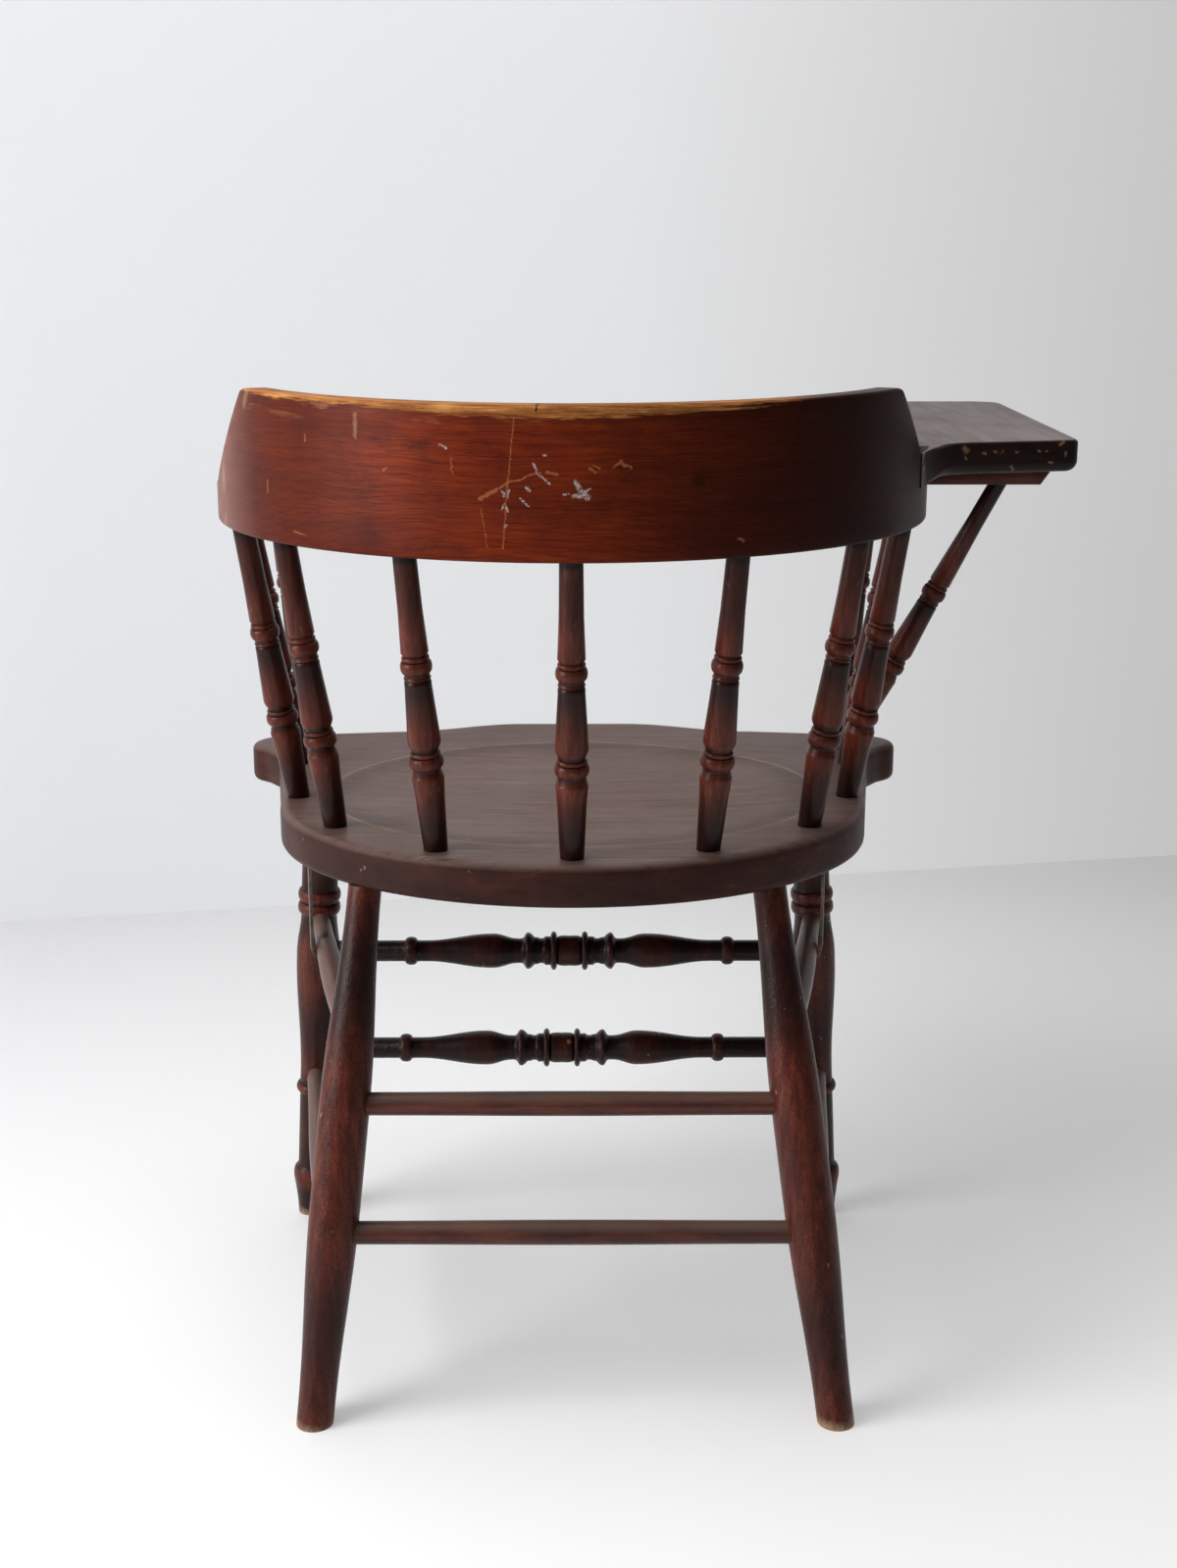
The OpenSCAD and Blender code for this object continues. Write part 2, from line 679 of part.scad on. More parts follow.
module tablet_brace() {
    color(warm_stain) placed()
        spindle(brace_low, brace_high, brace_pin_d, brace_pin_l,
            brace_lower_bead_at, brace_upper_bead_at, brace_top_d, brace_slim);
}

// ---- iron hangers ----

function hung_front(side) = front_leg_at(side, side_upper_h[0]);
function hung_back(side) = back_leg_at(side, side_upper_h[1]);
function hung_share(side) =
    (hung_front(side).y + hanger_at) / (hung_front(side).y - hung_back(side).y);
function hung_at(side) = along(hung_front(side), hung_back(side), hung_share(side));
hook_r = side_mid_d / 2 + strap_clear;

// The hangers are squared to the stretchers that they hold, seen from above.
module hanger_frame(side) {
    run = hung_back(side) - hung_front(side);
    translate(hung_at(side)) rotate([0, 0, atan2(run.y, run.x)]) rotate([0, 0, -90])
        mirror([side == left ? 0 : 1, 0]) children();
}

foot_top = seat_under - hung_at(left).z;
screw_in = hook_r - strap_foot_l * 0.55;

module screw_shank() {
    translate([screw_in, 0, foot_top - strap_t]) cylinder(h = screw_l, d = screw_d);
}

module hanger(side) {
    color(old_iron) placed() hanger_frame(side) difference() {
        union() {
            intersection() {
                rotate([90, 0, 0]) difference() {
                    cylinder(h = strap_w, r = hook_r + strap_t, center = true);
                    cylinder(h = strap_w + 2, r = hook_r, center = true);
                }
                translate([-far, -far, -2 * far]) cube(2 * far);
            }
            translate([hook_r, -strap_w / 2, 0]) cube([strap_t, strap_w, foot_top]);
            translate([hook_r + strap_t - strap_foot_l, -strap_w / 2, foot_top - strap_t])
                cube([strap_foot_l, strap_w, strap_t]);
        }
        screw_shank();
    }
}

module hanger_screws() {
    for (side = [left, right])
        color(old_iron) placed() hanger_frame(side) {
            screw_shank();
            translate([screw_in, 0, foot_top - strap_t - screw_head_h])
                cylinder(h = screw_head_h, d = screw_head_d);
        }
}

seat();
bow_rail();
for (i = [1:7]) back_spindle(i);
arm_spindle(left, rear);  // arm_spindle_left_rear
arm_spindle(left, front);  // arm_spindle_left_front
arm_spindle(right, rear);  // arm_spindle_right_rear
arm_spindle(right, front);  // arm_spindle_right_front
leg_back(left);  // leg_back_left
leg_back(right);  // leg_back_right
leg_front(left);  // leg_front_left
leg_front(right);  // leg_front_right
stretcher_front(front_upper_h, -front_upper_shift);  // stretcher_front_upper
stretcher_front(front_lower_h, front_lower_shift);  // stretcher_front_lower
stretcher_back(back_upper_h);  // stretcher_back_upper
stretcher_back(back_lower_h);  // stretcher_back_lower
stretcher_side(left, side_upper_h);  // stretcher_left_upper
stretcher_side(left, side_lower_h);  // stretcher_left_lower
stretcher_side(right, side_upper_h);  // stretcher_right_upper
stretcher_side(right, side_lower_h);  // stretcher_right_lower
tablet();
tablet_cleat();
tablet_brace();
hanger(left);  // hanger_left
hanger(right);  // hanger_right
hanger_screws();
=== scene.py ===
import math

import bpy
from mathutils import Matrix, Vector


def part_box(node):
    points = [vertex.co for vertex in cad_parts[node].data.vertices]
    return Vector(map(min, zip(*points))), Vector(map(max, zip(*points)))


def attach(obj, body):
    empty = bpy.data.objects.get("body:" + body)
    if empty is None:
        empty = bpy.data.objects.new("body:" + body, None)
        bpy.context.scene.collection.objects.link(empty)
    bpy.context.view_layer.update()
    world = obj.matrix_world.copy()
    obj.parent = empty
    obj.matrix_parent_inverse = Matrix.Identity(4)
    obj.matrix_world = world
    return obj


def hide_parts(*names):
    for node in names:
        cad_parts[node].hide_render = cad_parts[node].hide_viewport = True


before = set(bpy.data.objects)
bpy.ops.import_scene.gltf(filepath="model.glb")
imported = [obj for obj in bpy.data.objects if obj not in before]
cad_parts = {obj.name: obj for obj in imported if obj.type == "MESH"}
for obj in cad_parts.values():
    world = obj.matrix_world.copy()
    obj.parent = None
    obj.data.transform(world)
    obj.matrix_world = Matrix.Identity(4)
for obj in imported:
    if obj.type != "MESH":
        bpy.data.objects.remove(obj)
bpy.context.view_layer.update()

# ---------------------------------------------------------------- seat board
# The seat is one thick board of solid hardwood, sawn to a round back with two ears beside
# the front arm posts, then hollowed out with a scoop and eased all round its edges. It
# carries every other piece: posts and legs are glued into round sockets bored in it.


def mm(out, forward, height):
    """Chair places in millimetres, as out to the sitter's left, forward and up, in the frame."""
    return Vector((out / 1000 + SEAT_OUT, SEAT_FORWARD - forward / 1000, height / 1000))


def hexa(code):
    """A colour written as sRGB hex, as the linear colour that a shader reads."""
    parts = [int(code[i:i + 2], 16) / 255 for i in (1, 3, 5)]
    return [c / 12.92 if c <= 0.04045 else ((c + 0.055) / 1.055) ** 2.4 for c in parts] + [1]


seat_low, seat_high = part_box("seat")
SEAT_OUT = (seat_low.x + seat_high.x) / 2
SEAT_FORWARD = seat_low.y + 0.457
SEAT_TOP = round(seat_high.z * 1000, 1)
SEAT_UNDER = round(seat_low.z * 1000, 1)


def node(tree, kind, inputs=(), stops=(), **settings):
    """Adds a shader node. Inputs are nodes, outputs, numbers or hex colours, listed in order
    or under their names. Stops are a colour ramp's places and colours or grey levels."""
    n = tree.nodes.new("ShaderNode" + kind)
    for key, value in settings.items():
        setattr(n, key, value)
    for key, value in inputs.items() if isinstance(inputs, dict) else enumerate(inputs):
        if isinstance(value, bpy.types.Node):
            value = next(output for output in value.outputs if output.enabled)
        if isinstance(value, bpy.types.NodeSocket):
            tree.links.new(value, n.inputs[key])
        else:
            n.inputs[key].default_value = hexa(value) if isinstance(value, str) else value
    for i, (place, tone) in enumerate(stops):
        bar = n.color_ramp.elements
        element = bar[i] if i < len(bar) else bar.new(place)
        element.position = place
        element.color = hexa(tone) if isinstance(tone, str) else (tone, tone, tone, 1)
    return n


def pattern(tree, at, per_metre, stretch=(1, 1, 1), detail=4, rough=0.6, turn=(0, 0, 0)):
    """Uneven cloud or grain, so many cells to the metre, drawn out along the axes by stretch."""
    placed = node(tree, "Mapping", {"Vector": at, "Scale": stretch, "Rotation": turn})
    return node(tree, "TexNoise", {"Vector": placed, "Scale": per_metre, "Detail": detail,
                                   "Roughness": rough})


def tint(tree, colour, tone, share, stops=()):
    """Lays a tone over a colour, as thickly as a pattern's stops or a plain share say."""
    if stops:
        share = node(tree, "ValToRGB", [share], stops)
    return node(tree, "Mix", {0: share, 6: colour, 7: tone}, data_type="RGBA")


def start_material(name):
    m = bpy.data.materials.new(name)
    m.use_nodes = True
    m.node_tree.nodes.clear()
    return m, m.node_tree


def end_material(tree, colour, rough, bump, strength, distance, coat=0.0, coat_rough=0.2, grey=0.18):
    """A varnished wood surface: colour and roughness from the pattern, one bump for grain and
    film, and a coat for the varnish over it."""
    relief = node(tree, "Bump", {"Strength": strength, "Distance": distance, "Height": bump})
    varnish = {"IOR": 1.5, "Specular IOR Level": grey, "Coat Weight": coat, "Coat Roughness": coat_rough}
    surface = {"Base Color": colour, "Roughness": rough, "Normal": relief, "Coat Normal": relief}
    node(tree, "OutputMaterial", {"Surface": node(tree, "BsdfPrincipled", varnish | surface)})


def edit(piece):
    """Opens a piece alone in edit mode with nothing selected."""
    if bpy.context.mode != "OBJECT":
        bpy.ops.object.mode_set(mode="OBJECT")
    bpy.ops.object.select_all(action="DESELECT")
    piece.select_set(True)
    bpy.context.view_layer.objects.active = piece
    bpy.ops.object.mode_set(mode="EDIT")
    bpy.ops.mesh.select_mode(type="VERT")
    bpy.ops.mesh.select_all(action="DESELECT")


def drawn_up(name, places, around):
    """A tube: a ring is drawn up once for each further ring, and its points are set in place."""
    bpy.ops.object.select_all(action="DESELECT")
    bpy.ops.mesh.primitive_circle_add(vertices=around, radius=0.1, location=(0, 0, 0))
    piece = bpy.context.object
    piece.name = name
    edit(piece)
    bpy.ops.mesh.select_all(action="SELECT")
    for _ in range(len(places) // around - 1):
        bpy.ops.mesh.extrude_edges_move(TRANSFORM_OT_translate={"value": (0, 0, 0.001)})
    bpy.ops.object.mode_set(mode="OBJECT")
    for vertex, place in zip(piece.data.vertices, places):
        vertex.co = place
    return piece


def fix(piece, material, slot, *nodes, angle=40):
    """Ends a piece: outward faces, smooth shading, its finish, and the parts it stands for."""
    edit(piece)
    bpy.ops.mesh.select_all(action="SELECT")
    bpy.ops.mesh.remove_doubles(threshold=0.00001)
    bpy.ops.mesh.normals_make_consistent(inside=False)
    bpy.ops.object.mode_set(mode="OBJECT")
    bpy.ops.object.shade_smooth_by_angle(angle=math.radians(angle))
    piece.data.materials.clear()
    piece.data.materials.append(material)
    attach(piece, "root")
    if nodes:
        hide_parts(*nodes)


def close_ends(piece):
    """Gives each open end of a tube a flat face."""
    edit(piece)
    bpy.ops.mesh.select_non_manifold(extend=False, use_wire=False, use_multi_face=False,
                                     use_non_contiguous=False, use_verts=False)
    bpy.ops.mesh.edge_face_add()
    bpy.ops.object.mode_set(mode="OBJECT")


def keep(piece, name, values):
    """Stores one number for each vertex, for the piece's material to read."""
    layer = piece.data.attributes.new(name, "FLOAT", "POINT")
    layer.data.foreach_set("value", values)


def spaced(points, count):
    """The same closed outline, walked in equal steps."""
    n = len(points)
    lengths = [(points[(i + 1) % n] - points[i]).length for i in range(n)]
    step = sum(lengths) / count
    walked, i, gone = [], 0, 0.0
    for k in range(count):
        while gone + lengths[i] < k * step:
            gone += lengths[i]
            i += 1
        walked.append(points[i].lerp(points[(i + 1) % n], (k * step - gone) / lengths[i]))
    return walked


BACK_W, BACK_DEPTH, WIDE_AT, NOTCH_AT = 241.5, 206.0, 182.0, 325.0
FRONT_AT, POMMEL_BULGE, POMMEL_FLAT, POMMEL_W = 424.0, 33.0, 50.0, 165.0
SIDE_FLARE, EAR_OUT, EAR_FORWARD, EAR_R = 21.5, 267, 378, 28


def seat_side(forward):
    """Half width of the seat where its sides flare out towards the notches."""
    return BACK_W + SIDE_FLARE * ((forward - WIDE_AT) / (NOTCH_AT - WIDE_AT)) ** 0.85


half = [(BACK_W * math.sin(math.radians(t)), WIDE_AT - BACK_DEPTH * math.cos(math.radians(t)))
        for t in range(0, 91, 2)]
half += [(seat_side(v), v) for v in range(190, 319, 8)]
half += [(263.0, 325.0), (264.5, 329.0)]
half += [(EAR_OUT + EAR_R * math.cos(math.radians(a)), EAR_FORWARD + EAR_R * math.sin(math.radians(a)))
         for a in range(-62, 71, 6)]
half += [(262.0, 409.0), (250.2, 412.0)]
half += [(POMMEL_FLAT + (POMMEL_W - POMMEL_FLAT) * i / 14,
          FRONT_AT + POMMEL_BULGE * (1 - (1 - math.cos(math.pi * i / 14)) / 2))
         for i in range(14, -1, -1)]
seat_outline = half + [(-x, y) for x, y in reversed(half) if x > 0.01]

DISH_DEPTH, DISH_W, DISH_L, DISH_AT, RIM_SOFT = 8.0, 200.0, 169.0, 202.0, 0.05


def seat_face(out, forward):
    """Height of the top: a shallow bowl, deepest in the middle, with a soft but readable rim."""
    depth = 1 - (out / DISH_W) ** 2 - ((forward - DISH_AT) / DISH_L) ** 2
    if depth <= RIM_SOFT:
        depth = max(0.0, depth + RIM_SOFT) ** 2 / (4 * RIM_SOFT)
    return SEAT_TOP - DISH_DEPTH * depth


# Rings of points run from the middle of the scoop out to the rim, round the edge by its steps
# inward and down, and back in underneath.
seat_t = SEAT_TOP - SEAT_UNDER
shares = [0.02, 0.07, 0.13, 0.2, 0.27, 0.34, 0.41, 0.48, 0.54, 0.6, 0.65, 0.69, 0.72, 0.745, 0.77,
          0.79, 0.81, 0.83, 0.85, 0.87, 0.89, 0.91, 0.93, 0.95, 0.97, 0.985]
seat_edge = [(7, 0), (4.4, 0.3), (2.4, 1.1), (0.9, 2.6), (0.2, 4.4), (0, 7), (0, 14), (0, 21),
             (0, seat_t - 6), (0.4, seat_t - 3.4), (1.5, seat_t - 1.4), (3.2, seat_t - 0.3), (6, seat_t)]
AROUND = 300
ring = spaced([Vector(p) for p in seat_outline], AROUND)
tangents = [(ring[(i + 1) % AROUND] - ring[i - 1]).normalized() for i in range(AROUND)]
inward = [Vector((-along.y, along.x)) for along in tangents]
middle = Vector((0, 205))
places = []
for share in shares:
    for p, n in zip(ring, inward):
        q = middle.lerp(p + n * seat_edge[0][0], share)
        places.append(mm(q.x, q.y, seat_face(q.x, q.y)))
for inset, down in seat_edge:
    for p, n in zip(ring, inward):
        q = p + n * inset
        places.append(mm(q.x, q.y, (SEAT_TOP if down > DISH_DEPTH else seat_face(q.x, q.y)) - down))
for share in reversed(shares[1::4]):
    for p, n in zip(ring, inward):
        q = middle.lerp(p + n * seat_edge[-1][0], share)
        places.append(mm(q.x, q.y, SEAT_UNDER))
seat = drawn_up("seat_board", places, AROUND)
for first in (len(places) - AROUND, 0):
    for vertex in seat.data.vertices:
        vertex.select = first <= vertex.index < first + AROUND
    bpy.ops.object.mode_set(mode="EDIT")
    bpy.ops.mesh.merge(type="CENTER")
    bpy.ops.mesh.select_all(action="DESELECT")
    bpy.ops.object.mode_set(mode="OBJECT")

# Dark mahogany stain on sawn hardwood, rubbed through by sitting: the scoop is a dull grey
# brown with fine scratches, paler in its middle with painted sheen that also lightens the
# shade the back casts there, inside a dark ring and a thin tan line where the rim is rubbed.
seat_wood, t = start_material("mahogany_stained_seat_worn_painted_sheen")
at = node(t, "TexCoord").outputs["Object"]
apart = node(t, "SeparateXYZ", [at])
grain = pattern(t, at, 60, (0.08, 1.6, 1.0), 6, 0.65)
fine_grain = pattern(t, at, 420, (0.05, 1.0, 0.6), 3, 0.6)
cloud = pattern(t, at, 5.5, (1, 1, 0.2), 5, 0.6)
worn = pattern(t, at, 17, (0.6, 1, 1), 6, 0.7)
# How far out in the scoop a place lies: 0 in its middle and 1 at its rim.
across = node(t, "Math", [apart.outputs["X"], SEAT_OUT], operation="SUBTRACT")
across = node(t, "Math", [across, 0.205], operation="DIVIDE")
ahead = node(t, "Math", [apart.outputs["Y"], mm(0, DISH_AT, 0).y], operation="SUBTRACT")
ahead = node(t, "Math", [ahead, 0.173], operation="DIVIDE")
reach = node(t, "Math", [across, across], operation="MULTIPLY")
reach = node(t, "Math", [ahead, ahead, reach], operation="MULTIPLY_ADD")
uneven = node(t, "Math", [cloud, 0.5], operation="SUBTRACT")
reach_rough = node(t, "Math", [uneven, 0.35, reach], operation="MULTIPLY_ADD")
colour = node(t, "ValToRGB", [grain], [(0.25, "#4a342f"), (0.5, "#614138"), (0.75, "#775346")])
colour = tint(t, colour, "#604e48", reach_rough, [(0.35, 0.0), (1.05, 0.75)])
# Painted sheen: the middle of the scoop is laid paler, which also lightens the shade that the back casts
# into it.
colour = tint(t, colour, "#705d56", reach_rough, [(0.5, 0.6), (1.0, 0.0)])
colour = tint(t, colour, "#6a4c3e", worn, [(0.5, 0.0), (0.72, 0.4)])
colour = tint(t, colour, "#3c2a25", reach_rough, [(0.72, 0.0), (0.92, 0.5), (1.02, 0.0)])
rim = node(t, "Math", [worn, 0.04, 0.98], operation="MULTIPLY_ADD")
rim = node(t, "Math", [reach, rim], operation="SUBTRACT")
rim = node(t, "Math", [rim], operation="ABSOLUTE")
rim = node(t, "ValToRGB", [rim], [(0.006, 0.75), (0.02, 0.0)])
broken = node(t, "ValToRGB", [cloud], [(0.35, 1.0), (0.6, 0.35)])
colour = tint(t, colour, "#a5805f", node(t, "Math", [rim, broken], operation="MULTIPLY"))
scratches = pattern(t, at, 120, (0.1, 1.5, 1), 5, 0.8, (0, 0, 0.15))
colour = tint(t, colour, "#35221e", scratches, [(0.56, 0.0), (0.62, 0.6)])
colour = tint(t, colour, "#9c8277", scratches, [(0.34, 0.4), (0.41, 0.0)])
side = node(t, "ValToRGB", [apart.outputs["Z"]],
            [(SEAT_UNDER / 1000, 1.0), ((SEAT_TOP - 5) / 1000, 1.0), ((SEAT_TOP - 1) / 1000, 0.0)])
up = node(t, "SeparateXYZ", [node(t, "NewGeometry").outputs["Normal"]]).outputs["Z"]
steep = node(t, "ValToRGB", [up], [(0.75, 1.0), (0.93, 0.0)])
side = node(t, "Math", [side, steep], operation="MULTIPLY")
side_tone = pattern(t, at, 14, (1, 1, 2.5), 6, 0.7)
side_tone = node(t, "ValToRGB", [side_tone], [(0.3, "#21100d"), (0.55, "#3a1d16"), (0.75, "#5a3022")])
colour = tint(t, colour, side_tone, side)
flecks = node(t, "ValToRGB", [pattern(t, at, 130, (1, 1, 1), 2, 0.5)], [(0.72, 0.0), (0.78, 0.7)])
colour = tint(t, colour, "#8f7160", flecks)
rough = node(t, "ValToRGB", [cloud], [(0.3, 0.36), (0.7, 0.55)])
bump = node(t, "Math", [grain, 0.5], operation="MULTIPLY")
bump = node(t, "Math", [fine_grain, 0.5, bump], operation="MULTIPLY_ADD")
end_material(t, colour, rough, bump, 0.25, 0.0006, coat=0.06, coat_rough=0.4, grey=0.12)
fix(seat, seat_wood, "seat_stain", "seat")

# --------------------------------------------------------------- bent back rail
# The rail is one plank of hardwood, steamed and bent to a horseshoe, that makes the tall
# crest behind the sitter and runs down and round into both arms. It rests on the tops of
# all eleven posts, which are glued into its underside.
RAIL_T, RAIL_W, RAIL_DEPTH, RAIL_WIDE_AT, ARM_DRAW, ARM_END = 21.0, 282.5, 300.5, 263.0, 480.0, 419.5
RAIL_UNDER = round(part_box("bow_rail")[0].z * 1000, 1)
CREST_H, CREST_HOLLOW, ARM_H, DIP_FROM, DIP_TO = 111.5, 2.2, 30.6, 107.0, 202.0


def rail_place(s):
    """Middle of the rail in plan: s from -2 at the right arm's tip to 2 at the left arm's."""
    side = 1 if s > 0 else -1
    s = abs(s)
    if s <= 1:
        a = s * math.pi / 2
        p = Vector((RAIL_W * math.sin(a), RAIL_WIDE_AT - RAIL_DEPTH * math.cos(a)))
        n = Vector((math.sin(a) / RAIL_W, -math.cos(a) / RAIL_DEPTH)).normalized()
    else:
        a = math.asin((ARM_END - RAIL_WIDE_AT) / ARM_DRAW) * (s - 1)
        p = Vector((RAIL_W * math.cos(a), RAIL_WIDE_AT + ARM_DRAW * math.sin(a)))
        n = Vector((math.cos(a) / RAIL_W, math.sin(a) / ARM_DRAW)).normalized()
    return Vector((p.x * side, p.y)), Vector((n.x * side, n.y))


def rail_height(forward):
    """Top of the rail: a slightly hollow crest, a rounded corner, the dip, and level arms."""
    drop = CREST_H - ARM_H
    if forward <= DIP_FROM:
        middle = RAIL_WIDE_AT - RAIL_DEPTH
        sag = CREST_HOLLOW * min(1.0, max(0.0, (DIP_FROM - 9 - forward) / (DIP_FROM - 9 - middle)))
        return CREST_H - sag - 0.02 * drop * max(0.0, (forward - DIP_FROM + 7) / 7) ** 2
    share = min(1.0, (forward - DIP_FROM) / (DIP_TO - DIP_FROM))
    return ARM_H + drop * 0.98 * (1 - share) ** 1.45


# Stations along the rail, each its middle, its outward direction and half its thickness,
# which shrinks to nothing round the tips of both arms.
stations = []
for i in range(-270, 271):
    p, n = rail_place(i / 135)
    stations.append((p, n, RAIL_T / 2))
tip_round = [RAIL_T / 2 * math.sin(math.radians(a)) for a in (15, 30, 45, 58, 70, 80, 87)]
for side in (-1, 1):
    p, n = rail_place(2 * side)
    ahead = Vector((-n.y, n.x)) * (1 if side > 0 else -1)
    for reach in tip_round:
        place = (p + ahead * reach, n, max(0.05, math.sqrt((RAIL_T / 2) ** 2 - reach ** 2)))
        if side > 0:
            stations.append(place)
        else:
            stations.insert(0, place)

# Its cross-section: four eased corners with flats between them, each point as its wall, the
# share of the height, and its offsets in easing radii.
EASE = 2.6
UP_STEPS, ACROSS_STEPS = (0.1, 0.3, 0.5, 0.7, 0.9), (0.6, 0.2, -0.2, -0.6)
loop = []
walls = [(1, 0, [(1, u) for u in UP_STEPS]), (1, 1, [(across, 1) for across in ACROSS_STEPS]),
         (-1, 1, [(-1, u) for u in reversed(UP_STEPS)]), (-1, 0, [])]
for quarter, (side, up, wall) in enumerate(walls):
    for k in range(5):
        a = math.pi / 2 * (quarter - 1 + k / 4)
        loop.append((side, up, math.cos(a) - side, math.sin(a) + 1 - 2 * up))
    loop += [(across, u, 0, 0) for across, u in wall]

lengths = [0.0]
for a, b in zip(stations, stations[1:]):
    lengths.append(lengths[-1] + (b[0] - a[0]).length)
crest_middle = lengths[len(stations) // 2]
places, arcs, rises, drops, outers = [], [], [], [], []
for length, (p, n, half_t) in zip(lengths, stations):
    high = rail_height(p.y)
    r = min(EASE, half_t * 0.95)
    for side, up, ease_out, ease_up in loop:
        off = side * half_t + ease_out * r
        rise = up * high + ease_up * r
        q = p + n * off
        places.append(mm(q.x, q.y, RAIL_UNDER + rise))
        arcs.append((length - crest_middle) / 1000)
        rises.append(rise / 1000)
        drops.append((high - rise) / 1000)
        outers.append(0.5 + off / RAIL_T)
rail = drawn_up("bent_back_rail", places, len(loop))
for name, values in (("arc", arcs), ("rise", rises), ("drop", drops), ("outer", outers)):
    keep(rail, name, values)
close_ends(rail)


def strokes(tree, place, marks, soften=0.35):
    """A mask of drawn marks, each a chain of (arc, rise) points in mm and a half width in mm."""
    total = None
    for points, width in marks:
        for (ax, ay), (bx, by) in zip(points, points[1:]):
            run = Vector(((bx - ax) / 1000, (by - ay) / 1000, 0))
            off = node(tree, "VectorMath", [place, (ax / 1000, ay / 1000, 0)], operation="SUBTRACT")
            share = node(tree, "VectorMath", [off, run / run.length_squared], operation="DOT_PRODUCT")
            share = node(tree, "Clamp", [share])
            along = node(tree, "VectorMath", {0: run, "Scale": share}, operation="SCALE")
            gap = node(tree, "VectorMath", [off, along], operation="DISTANCE")
            inner, outer = width * (1 - soften) / 1000, width * (1 + soften) / 1000
            mark = node(tree, "MapRange", [gap, inner, outer, 1.0, 0.0])
            total = node(tree, "Math", [total, mark], operation="MAXIMUM") if total else mark
    return total


# Warm mahogany stain under satin varnish: red-brown with fine level grain and a few arched
# figure lines low down, rubbed to bare tan wood along the crest's top edge, scratched and
# flecked in the middle of the back. Painted shade darkens both ends, the right end most, and
# a painted grey sheen lies on the far left bend.
rail_wood, t = start_material("mahogany_stained_rail_satin_varnish")
arc = node(t, "Attribute", attribute_name="arc").outputs["Fac"]
rise = node(t, "Attribute", attribute_name="rise").outputs["Fac"]
drop = node(t, "Attribute", attribute_name="drop").outputs["Fac"]
outer = node(t, "Attribute", attribute_name="outer").outputs["Fac"]
flat = node(t, "CombineXYZ", [arc, rise, node(t, "Math", [outer, 0.021], operation="MULTIPLY")])
swirl = node(t, "Math", [pattern(t, flat, 7, (1, 2.5, 1), 2, 0.5), 0.5], operation="SUBTRACT")
bent_rise = node(t, "Math", [swirl, 0.016, rise], operation="MULTIPLY_ADD")
grain_at = node(t, "CombineXYZ", [arc, bent_rise, outer])
grain = pattern(t, grain_at, 900, (0.035, 1.0, 0.01), 3, 0.6)
streaks = pattern(t, grain_at, 260, (0.03, 1.0, 0.03), 5, 0.7)
pores = pattern(t, grain_at, 1500, (0.05, 1.0, 0.01), 1, 0.5)
cloud = pattern(t, flat, 11, (1, 1.6, 1))
arch_out = node(t, "Math", [arc, 0.075], operation="SUBTRACT")
arch = node(t, "Math", [arch_out, arch_out], operation="MULTIPLY")
arch = node(t, "Math", [arch, 0.9, bent_rise], operation="MULTIPLY_ADD")
arch = node(t, "Math", [swirl, 0.012, arch], operation="MULTIPLY_ADD")
arch_lines = node(t, "Math", [node(t, "Math", [arch, 1050.0], operation="MULTIPLY")], operation="SINE")
arch_lines = node(t, "ValToRGB", [arch_lines], [(0.55, 0.0), (1.0, 1.0)])
low_down = node(t, "Math", [swirl, 0.05, rise], operation="MULTIPLY_ADD")
low_down = node(t, "ValToRGB", [low_down], [(0.0, 0.9), (0.05, 0.7), (0.066, 0.0)])
figure = node(t, "Math", [arch_lines, low_down], operation="MULTIPLY")
colour = node(t, "ValToRGB", [streaks], [(0.3, "#66200c"), (0.5, "#7f2c10"), (0.7, "#8f3814")])
colour = tint(t, colour, "#43120a", grain, [(0.3, 0.6), (0.5, 0.0)])
colour = tint(t, colour, "#9f451d", grain, [(0.52, 0.0), (0.72, 0.5)])
colour = tint(t, colour, "#2c0c06", pores, [(0.34, 0.4), (0.44, 0.0)])
colour = tint(t, colour, "#35120a", node(t, "Math", [figure, 0.4], operation="MULTIPLY"))
colour = tint(t, colour, "#47150b", cloud, [(0.44, 0.0), (0.68, 0.6)])
blotches = pattern(t, flat, 42, (0.55, 1, 1), 6, 0.75)
colour = tint(t, colour, "#3a110a", blotches, [(0.52, 0.0), (0.68, 0.5)])
colour = tint(t, colour, "#5a1f0f", rise, [(0.0, 0.35), (0.03, 0.2), (0.075, 0.0), (0.1, 0.25)])
# Painted shade: the crest is laid darker towards its right end, where little light falls, and less so
# towards its left end.
right_end_shade = node(t, "Math", [arc, -1.0], operation="MULTIPLY")
colour = tint(t, colour, "#1c0906", right_end_shade, [(0.0, 0.05), (0.09, 0.6), (0.22, 0.92)])
colour = tint(t, colour, "#3d1a12", arc, [(0.13, 0.0), (0.2, 0.5), (0.28, 0.6), (0.34, 0.2)])
# Painted sheen: a pale grey laid on the far left bend of the crest.
colour = tint(t, colour, "#8a6a60", arc, [(0.27, 0.0), (0.34, 0.45), (0.45, 0.3)])
knot = node(t, "VectorMath", [flat, (-0.0874, 0.0563, 0.021)], operation="DISTANCE")
knot = node(t, "Math", [swirl, 0.01, knot], operation="MULTIPLY_ADD")
colour = tint(t, colour, "#1d0a06", knot, [(0.002, 0.7), (0.008, 0.0)])
